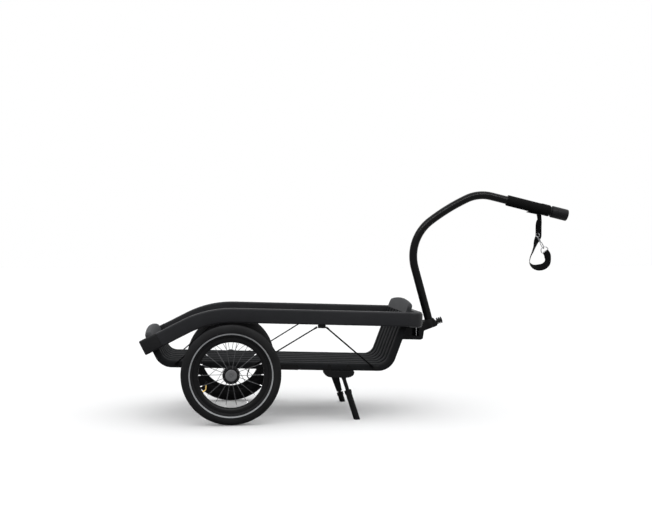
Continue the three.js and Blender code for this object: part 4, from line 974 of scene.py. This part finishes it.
# %% Receiver, casting and knob
RECEIVER_SETBACK, RECEIVER_LENGTH, RECEIVER_HEIGHT = 47.0, 94.0, 73.0
WINDOW_LOW, WINDOW_HEIGHT = 16.0, 40.0
WINDOW_PIN_SETBACK, WINDOW_PIN_RADIUS, WINDOW_PIN_SEAT = 29.0, 3.25, 0.1
RECEIVER_EDGE, ARM_FOOT_EDGE = 1.6, 1.4
ARM_FOOT, ARM_LEAN = (867.6, 0.0, 213.0), math.radians(17)
KNOB_RADIUS, KNOB_LENGTH, KNOB_START, KNOB_DROP, KNOB_RIBS = 14.5, 22.0, 34.0, 10.0, 3
KNOB_FACE, RIB_EASE_IN, RIB_EASE_ALONG, GROOVE_IN = 11.5, 1.2, 0.8, 6.0
PLUNGER_START, PLUNGER_SEAT, PLUNGER_RADIUS = 18.6, 2.0, 4.0

HITCH = CHASSIS @ Matrix.Translation(ARM_FOOT) @ Matrix.Rotation(-ARM_LEAN, 4, "Y")
dress_solid("hitch_receiver", "receiver", CASTING, RECEIVER_EDGE)
dress_solid("foot_casting", "arm_foot", CASTING, ARM_FOOT_EDGE)
window_x = FRONT_FACE - RECEIVER_SETBACK + RECEIVER_LENGTH - WINDOW_PIN_SETBACK
window_z = rail_low - SEAT_GAP - RECEIVER_HEIGHT + WINDOW_LOW
pin_ends = [(window_x, 0, window_z + up) for up in (-WINDOW_PIN_SEAT, WINDOW_HEIGHT + WINDOW_PIN_SEAT)]
add_piece("window_pin", [rod_skin(*pin_ends, WINDOW_PIN_RADIUS, 24)], NIPPLE, "steel")

knob_rib = KNOB_LENGTH / (2 * KNOB_RIBS - 1)
rib_profile = [(0, -RIB_EASE_IN), (RIB_EASE_ALONG, 0), (knob_rib - RIB_EASE_ALONG, 0),
               (knob_rib, -RIB_EASE_IN), (knob_rib, -GROOVE_IN), (2 * knob_rib, -GROOVE_IN)]
knob_profile = [(2 * rib * knob_rib + along, KNOB_RADIUS + grow)
                for rib in range(KNOB_RIBS) for along, grow in rib_profile]
knob_profile = [(0.0, KNOB_FACE), *knob_profile[:-2], (KNOB_LENGTH, KNOB_FACE)]
knob_rings = [[(KNOB_START + reach, a, b - KNOB_DROP) for a, b in circle(radius, 40)]
              for reach, radius in knob_profile]
plunger_ends = [(x, 0, -KNOB_DROP) for x in (PLUNGER_START, KNOB_START + PLUNGER_SEAT)]
knob_skins = [ring_skin(knob_rings), rod_skin(*plunger_ends, PLUNGER_RADIUS, 20)]
add_piece("knob", knob_skins, KNOB, "knob", ("lock_knob",), HITCH, "lock_knob")
print("knob at", told(HITCH @ Vector((KNOB_START, 0, -KNOB_DROP))))

# %% [markdown]
# The arm is one bent tube: a leg that leans back, a wide bend, a nearly straight back and a tight crown,
# then a straight top run that carries the foam grip and the coupling. A curve object with a round bevel
# could draw it, but bends of known radius are what a tube bender makes, so the run is written as them.

# %% Arm and grip
ARM_RADIUS, ARM_LEG, ARM_TOP = 17.75, 263.7, 270.0
ARM_BENDS = [(195.0, 68, 22), (911.0, 12, 8), (170.0, 38.9, 14)]
CASTING_LOW, ARM_SEAT, RUN_GAP = -28.0, 8.0, 0.6
GRIP_START, GRIP_END, GRIP_RADIUS, GRIP_BORE = 73.3, 272.3, 24.0, 18.2
BAND_RADIUS, BAND_LENGTH = 25.5, 41.0
arm_start = CASTING_LOW + ARM_SEAT + RUN_GAP
bends = [(radius, -math.radians(turn), steps) for radius, turn, steps in ARM_BENDS]
arm_run = side_run(
    ARM_FOOT[0] - arm_start * math.sin(ARM_LEAN),
    ARM_FOOT[2] + arm_start * math.cos(ARM_LEAN),
    math.pi / 2 + ARM_LEAN,
    [ARM_LEG, *bends, ARM_TOP],
)
arm_rings = [station_ring(station, 0, circle(ARM_RADIUS, 40)) for station in arm_run]
add_piece("arm", [ring_skin(arm_rings)], ARM, "arm", ("hitch_arm",), body="hitch_arm")
top_x, top_z, top_heading = arm_run[-2]
TOP = CHASSIS @ Matrix.Translation((top_x, 0, top_z)) @ Matrix.Rotation(-top_heading, 4, "Y")


def along_top(profile, count):
    """A closed (radius, along) profile turned about the top run."""
    points, faces = turned_skin(profile, count=count)
    return [(along, a, b) for a, along, b in points], faces


band_start = GRIP_END - BAND_LENGTH
grip_profile = [
    *shifted([(GRIP_BORE, 0), (21.6, 0), (23.4, 0.8), (GRIP_RADIUS, 2.6)], GRIP_START),
    *shifted([(GRIP_RADIUS, 0), (BAND_RADIUS - 0.4, 0.6), (BAND_RADIUS, 1.6)], band_start),
    *shifted([(BAND_RADIUS, -2.6), (BAND_RADIUS - 0.6, -0.8), (23.1, 0), (GRIP_BORE, 0)], GRIP_END),
]
add_piece("grip", [along_top(grip_profile, 48)], GRIP, "grip", ("grip_sleeve",), TOP, "hitch_arm")
print("arm tip", told(TOP @ Vector((ARM_TOP, 0, 0))))

# %% [markdown]
# The coupling is a turned socket: a neck that plugs into the tube, a stepped collar with a groove, and an
# open mouth that takes the pin of the hitch on the bicycle. Like the grip, it is one closed profile turned
# about the top run, so that its bore and its rims come in the same skin.

# %% Coupling
COLLAR_START, SOCKET_LENGTH = 8.0, 76.0
socket_start = GRIP_END + COLLAR_START
socket_end = socket_start + SOCKET_LENGTH
neck = [(0.3, 0.4), (19.0, 0.6), (20.0, 1.4), (20.0, COLLAR_START)]
collar = [(24.6, 1.4), (26.0, 3.4), (26.0, 22), (25.2, 22.8), (25.2, 25.2), (26.0, 26)]
mouth = [(26.0, -3.0), (25.2, -1.0), (23.6, 0), (16.4, 0), (15.2, -1.4), (15.0, -38), (0.3, -38)]
socket_profile = shifted(neck, GRIP_END) + shifted(collar, socket_start) + shifted(mouth, socket_end)
socket = along_top(socket_profile, 64)
add_piece("coupling", [socket], SOCKET, "socket", ("coupling_socket",), TOP, "coupling_socket")
print("coupling mouth", told(TOP @ Vector((socket_end, 0, 0))))

# %% [markdown]
# A safety strap hangs from the grip: down past a round ring, round a loop and up to a D ring that sits in a
# snap hook. The places of all of these could be typed in, but they hang from one another, so only the
# round ring's middle is read from its solid and the rest is worked out from the sizes of the wires.

# %% Places on the strap
RING_RADIUS, RING_WIRE, RING_TURN, RING_DROP = 8.5, 1.6, math.radians(-45), 96.0
D_RADIUS, D_WIRE, D_CHORD, D_LEAN, D_SEAT = 16.5, 1.9, 4.2, math.radians(33.5), 7.0
HOOK_WIRE, HOOK_EYE, HOOK_LENGTH, HOOK_HALF, HOOK_LEAN = 1.9, 4.8, 57.0, 7.5, math.radians(28)
ring_low, ring_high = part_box("strap_ring")
ring_centre = (ring_low + ring_high) / 2
STRAP = Matrix.Translation(ring_centre) @ SCALE
hook_drop = RING_RADIUS + HOOK_EYE - HOOK_WIRE - RING_WIRE - 2 * SEAT_GAP
d_reach = hook_drop - RING_RADIUS + HOOK_LENGTH - D_SEAT + D_RADIUS
d_centre = Vector((d_reach * math.sin(HOOK_LEAN), 0, -RING_RADIUS - d_reach * math.cos(HOOK_LEAN)))
d_place = Matrix.Translation(d_centre) @ Matrix.Rotation(-D_LEAN, 4, "Y")
print("strap ring at", told(ring_centre))

# %% [markdown]
# Cloth could be dropped and left to settle, but it would not come to rest as the photographed webbing did.
# So one ribbon is carried along the route read from the photograph, and turned about it, so that it
# narrows where it is seen on edge. A spot that would lie inside the grip is moved to just below it. A thin
# keeper holds the ribbon at the ring, and a short flap of it lies under the grip.

# %% Webbing
WEB_WIDTH, WEB_THICKNESS, WEB_TRIM, WEB_ROUND_SHARE = 30.0, 2.2, 0.4, 0.45
KEEPER_SEAT, KEEPER_RADIUS, KEEPER_WIRE, WEB_SHARP_ANGLE = 4.2, 7.2, 1.0, 60
FLAP_OUTLINE, FLAP_HALF = [(-51, 5.5), (6, 2.9), (6, 0.6), (-45.5, 0.6)], 11.5
GRIP_CLEAR, GRIP_SAG = 25.75 + SEAT_GAP, 24.25
# Millimetres from the ring's middle, and the ribbon's turn in degrees.
WEBBING_ROUTE = [
    (6.9, 8.3, 97, 154), (10, 8.3, 71.6, 160), (7.8, 8.3, 60.2, 143), (6, 8.3, 41.1, 135),
    (6.2, 9.2, 10.7, 135), (6.1, 10.2, -4.6, 135), (3.5, 14.2, -15, 137), (0, 19, -26, 148),
    (-4, 20, -38, 164), (-8, 18, -50, 176), (-14.1, 14, -62.1, 182), (-21.3, 9, -77, 186),
    (-31.2, 4, -95, 192), (-36.8, 1, -114.1, 196), (-34.6, 0, -128.4, 204), (-23, 0, -139.5, 218),
    (-7.4, 0, -144.5, 236), (11.6, 0, -144, 258), (28.8, 0, -138.9, 262), (41.7, 0, -127.4, 240),
    (46.8, 0, -113.7, 222), (46, 0, -99.8, 236),
]
ROUTE_END_TURNS = (262, 270)
top_way = (TOP.to_3x3() @ Vector((1, 0, 0))).normalized()
top_slope = top_way.z / top_way.x
grip_axis_z = RING_DROP + GRIP_SAG * top_way.x - top_slope * GRIP_SAG * -top_way.z


def smooth_path(points, steps):
    """A curve that passes through points of any size."""
    path = []
    padded = [points[0], *points, points[-1]]
    for i in range(len(points) - 1):
        p0, p1, p2, p3 = (Vector(padded[i + k]) for k in range(4))
        for step in range(steps):
            t = step / steps
            path.append(0.5 * (2 * p1 + (p2 - p0) * t + (2 * p0 - 5 * p1 + 4 * p2 - p3) * t ** 2
                               + (3 * p1 - p0 - 3 * p2 + p3) * t ** 3))
    path.append(Vector(points[-1]))
    return path


def below_grip(spot):
    """The spot, or where it is inside the grip, the place under the grip straight below it."""
    reach = math.sqrt(max(GRIP_CLEAR ** 2 - spot.y ** 2, 0.0)) / top_way.x
    return Vector((spot.x, spot.y, min(spot.z, grip_axis_z + top_slope * spot.x - reach)))


def ribbon_skin(stations):
    """A flat band along (x, y, z, turn) stations, whose width turns from across to upright."""
    section = round_corners(WEB_WIDTH - WEB_TRIM, WEB_THICKNESS, [WEB_THICKNESS * WEB_ROUND_SHARE] * 4, 3)
    rings = []
    for i, station in enumerate(stations):
        before, after = stations[max(i - 1, 0)], stations[min(i + 1, len(stations) - 1)]
        way = (after - before).xyz.normalized()
        upright = Vector((-way.z, 0, way.x)).normalized()
        turn = math.radians(station.w)
        flat = (upright * math.sin(turn) + Vector((0, math.cos(turn), 0))).normalized()
        normal = way.cross(flat).normalized()
        spots = [station.xyz + flat * across + normal * depth for across, depth in section]
        rings.append([below_grip(spot) for spot in spots])
    return ring_skin(rings)


bar_drop = D_CHORD + D_WIRE + SEAT_GAP
end_drops = (bar_drop + WEB_WIDTH / 2, bar_drop)
route_end = [(*(d_place @ Vector((0, 0, -drop))), turn) for drop, turn in zip(end_drops, ROUTE_END_TURNS)]
keeper_place = Matrix.Translation((0, 0, RING_RADIUS)) @ Matrix.Rotation(math.pi / 2 + RING_TURN, 4, "Z")
keeper = [keeper_place @ Vector((KEEPER_SEAT + a, 0, b)) for a, b in circle(KEEPER_RADIUS, 28)]
flap_outline = [(x, RING_DROP + top_slope * x - drop) for x, drop in FLAP_OUTLINE]
webbing_skins = [ribbon_skin(smooth_path(WEBBING_ROUTE + route_end, 6)), wire_loop(keeper, KEEPER_WIRE, 10),
                 slab_skin(flap_outline, -FLAP_HALF, FLAP_HALF)]
nodes = ("strap_webbing",)
add_piece("strap_ribbon", webbing_skins, WEBBING, "webbing", nodes, STRAP, "strap", WEB_SHARP_ANGLE)
print("strap hangs from", told(STRAP @ Vector(WEBBING_ROUTE[0][:3])))

# %% [markdown]
# The round ring and the D ring are bent from polished wire. A torus would serve for the first, but the
# second has a straight bar, so both are wires carried through points: a full circle, and an arc that a rod
# closes across its chord.

# %% Ring and D ring
D_STEPS, BAR_ROUNDING, WIRE_SHARE = 40, 0.8, 0.96
ring_wire = [Matrix.Rotation(RING_TURN, 4, "Z") @ Vector((a, 0, b)) for a, b in circle(RING_RADIUS, 40)]
ring = wire_loop(ring_wire, RING_WIRE * WIRE_SHARE)
add_piece("strap_ring_wire", [ring], STEEL, "steel", ("strap_ring",), STRAP, "strap")
bar_half = math.sqrt(D_RADIUS ** 2 - D_CHORD ** 2)
arc_end = math.asin(D_CHORD / D_RADIUS)
arc = [-arc_end + (math.pi + 2 * arc_end) * step / D_STEPS for step in range(D_STEPS + 1)]
d_wire = [Vector((D_RADIUS * math.cos(turn), 0, D_RADIUS * math.sin(turn))) for turn in arc]
bar = rod_skin((-bar_half, 0, -D_CHORD), (bar_half, 0, -D_CHORD), D_WIRE * WIRE_SHARE, 16,
               rounding=BAR_ROUNDING)
d_skins = [tube_skin(d_wire, D_WIRE * WIRE_SHARE), bar]
add_piece("strap_d_wire", d_skins, STEEL, "steel", ("strap_d_ring",), STRAP @ d_place, "strap")
print("D ring's bar is", round(2 * bar_half, 1), "mm long")

# %% [markdown]
# The snap hook has an eye on the ring, a barrel below it, and a bent wire with a thin gate that springs
# shut across its mouth. The D ring sits in the mouth. The wire could be a bevelled curve, but a tube
# through points joins the other skins in one piece, and the gate stays apart, because it swings.

# %% Snap hook and gate
BARREL_RADIUS, BARREL_LENGTH, GATE_WIRE, HOOK_MOUTH = 4.0, 18.0, 1.6, 20.0
EYE_SHARE, BEND_SHARE, BARREL_SEAT, BARREL_ROUNDING, GATE_ROUNDING = 0.95, 0.97, 0.9, 0.8, 0.4
HOOK = (STRAP @ Matrix.Translation((0, 0, -RING_RADIUS)) @ Matrix.Rotation(-HOOK_LEAN, 4, "Y")
        @ Matrix.Translation((0, 0, RING_RADIUS - hook_drop))
        @ Matrix.Rotation(RING_TURN - math.pi / 2, 4, "Z"))
mouth_low = -HOOK_LENGTH + HOOK_HALF
hook_tip = mouth_low + HOOK_WIRE
barrel_low = -HOOK_EYE - BARREL_LENGTH
hook_path = smooth_path([
    (0, barrel_low + HOOK_HALF / 2), (0, barrel_low - HOOK_WIRE), (-HOOK_HALF, barrel_low - HOOK_HALF),
    (-HOOK_HALF, mouth_low), (0, -HOOK_LENGTH), (HOOK_HALF, mouth_low), (HOOK_HALF, hook_tip),
], 8)
hook_eye = [Vector((a, 0, b)) for a, b in circle(HOOK_EYE, 40)]
gate_top = Vector((HOOK_HALF - HOOK_WIRE / 2, 0, hook_tip + HOOK_MOUTH))
gate_lug = gate_top + Vector((0, 0, GATE_WIRE + SEAT_GAP))
barrel = rod_skin((0, 0, -HOOK_EYE - BARREL_SEAT), (0, 0, barrel_low), BARREL_RADIUS, 24,
                  rounding=BARREL_ROUNDING)
hook_skins = [
    wire_loop(hook_eye, HOOK_WIRE * EYE_SHARE),
    tube_skin([(p.x, 0, p.y) for p in hook_path], HOOK_WIRE * BEND_SHARE),
    barrel,
    rod_skin((0, 0, barrel_low + GATE_WIRE), gate_lug, GATE_WIRE, 14),
]
add_piece("hook", hook_skins, STEEL, "steel", ("snap_hook",), HOOK, "strap")
gate = rod_skin(gate_top, (HOOK_HALF, 0, hook_tip + SEAT_GAP), GATE_WIRE * WIRE_SHARE, 16,
                rounding=GATE_ROUNDING)
add_piece("gate", [gate], STEEL, "steel", ("snap_gate",), HOOK, "snap_gate")
print("hook's lower end", told(HOOK @ Vector((0, 0, -HOOK_LENGTH))))

# %% [markdown]
# A round tube joins the two end caps behind the rear wall. It is seen from behind only, and its solid is
# round enough, so it is one more eased copy.

# %% Rear tube
TUBE_EDGE = 0.8
rear_tube = dress_solid("rear_cross_tube", "rear_tube", RAIL, TUBE_EDGE)
print("rear tube has", len(rear_tube.data.vertices), "points")

# %% [markdown]
# The studio is a pale floor under a large soft light from above, with a weaker one in front and a long
# narrow strip that only draws the bright line along the arm. More light could wash the background white,
# but it would grey the blacks too. So the floor and the world show pale only to the camera and in
# reflections, while the floor gives little light back to the trailer and keeps its soft shadow.

# %% Floor and world
FLOOR_SIZE, FLOOR_COLOUR, FLOOR_ROUGHNESS = 60.0, (0.8, 0.8, 0.8), 0.9
FLOOR_LIFT, FLOOR_SHOWN, FLOOR_HIDDEN = 0.12, 0.65, 0.15
WHITE, SKY_COLOUR, SKY_STRENGTH = (1, 1, 1, 1), (0.9, 0.92, 0.95, 1), 0.2


def shown_rays(tree):
    """One for the rays that show the background: those from the camera, a reflection or glass."""
    path = tree.nodes.new("ShaderNodeLightPath")
    total = path.outputs["Is Camera Ray"]
    for kind in ("Is Glossy Ray", "Is Transmission Ray"):
        total = math_node(tree, "MAXIMUM", total, path.outputs[kind])
    return total


floor_mesh = bpy.data.meshes.new("floor")
bm = bmesh.new()
bmesh.ops.create_grid(bm, x_segments=1, y_segments=1, size=FLOOR_SIZE / 2)
bm.to_mesh(floor_mesh)
bm.free()
floor = new_object("floor", floor_mesh)
floor_finish = new_finish("studio_floor", FLOOR_COLOUR, FLOOR_ROUGHNESS, shine=0.0)
floor.data.materials.append(floor_finish)
floor_tree = floor_finish.node_tree
floor_inputs = floor_tree.nodes["Principled BSDF"].inputs
shown = shown_rays(floor_tree)
floor_inputs["Emission Color"].default_value = WHITE
floor_glow = math_node(floor_tree, "MULTIPLY", shown, FLOOR_LIFT)
floor_tone = math_node(floor_tree, "MULTIPLY_ADD", shown, FLOOR_SHOWN, FLOOR_HIDDEN)
floor_tree.links.new(floor_glow, floor_inputs["Emission Strength"])
floor_tree.links.new(floor_tone, floor_inputs["Base Color"])

world = bpy.data.worlds.new("studio")
bpy.context.scene.world = world
world.use_nodes = True
sky = world.node_tree
sky.nodes.clear()
chooser = sky.nodes.new("ShaderNodeMixShader")
sky.links.new(shown_rays(sky), chooser.inputs[0])
for socket, colour, strength in ((1, SKY_COLOUR, SKY_STRENGTH), (2, WHITE, 1.0)):
    background = sky.nodes.new("ShaderNodeBackground")
    background.inputs["Color"].default_value = colour
    background.inputs["Strength"].default_value = strength
    sky.links.new(background.outputs[0], chooser.inputs[socket])
sky.links.new(chooser.outputs[0], sky.nodes.new("ShaderNodeOutputWorld").inputs["Surface"])
print("floor shows", FLOOR_SHOWN + FLOOR_HIDDEN, "of the light")

# %% [markdown]
# Two very wide suns stand for the large soft lights, because a wide sun reaches every piece alike and
# leaves no edge to its shadow. Only the strip is an area light, so that it mirrors in the arm as a line.
# It gives no diffuse light.

# %% Lights
SUNS = {"top_light": ((0.0, 0.16, -1.0), 3.1, 120), "front_light": ((0.25, 0.9, -0.35), 0.15, 60)}
STRIP_SPOT, STRIP_AIM = Vector((0.5, -3.2, 3.6)), Vector((0.5, 0, 0.6))
STRIP_LENGTH, STRIP_WIDTH, STRIP_POWER = 7.0, 0.3, 260


def add_lamp(name, kind, strength, way):
    """A lamp whose light travels along way."""
    data = bpy.data.lights.new(name, kind)
    data.energy = strength
    lamp = new_object(name, data)
    lamp.rotation_euler = Vector(way).to_track_quat("-Z", "Y").to_euler()
    return lamp


for name, (way, strength, spread) in SUNS.items():
    add_lamp(name, "SUN", strength, way).data.angle = math.radians(spread)
strip = add_lamp("strip_light", "AREA", STRIP_POWER, STRIP_AIM - STRIP_SPOT)
strip.location = STRIP_SPOT
strip.data.shape = "RECTANGLE"
strip.data.size, strip.data.size_y = STRIP_LENGTH, STRIP_WIDTH
strip.visible_diffuse = False
bpy.context.scene.view_settings.view_transform = "Standard"
print("lights:", len(bpy.data.lights))
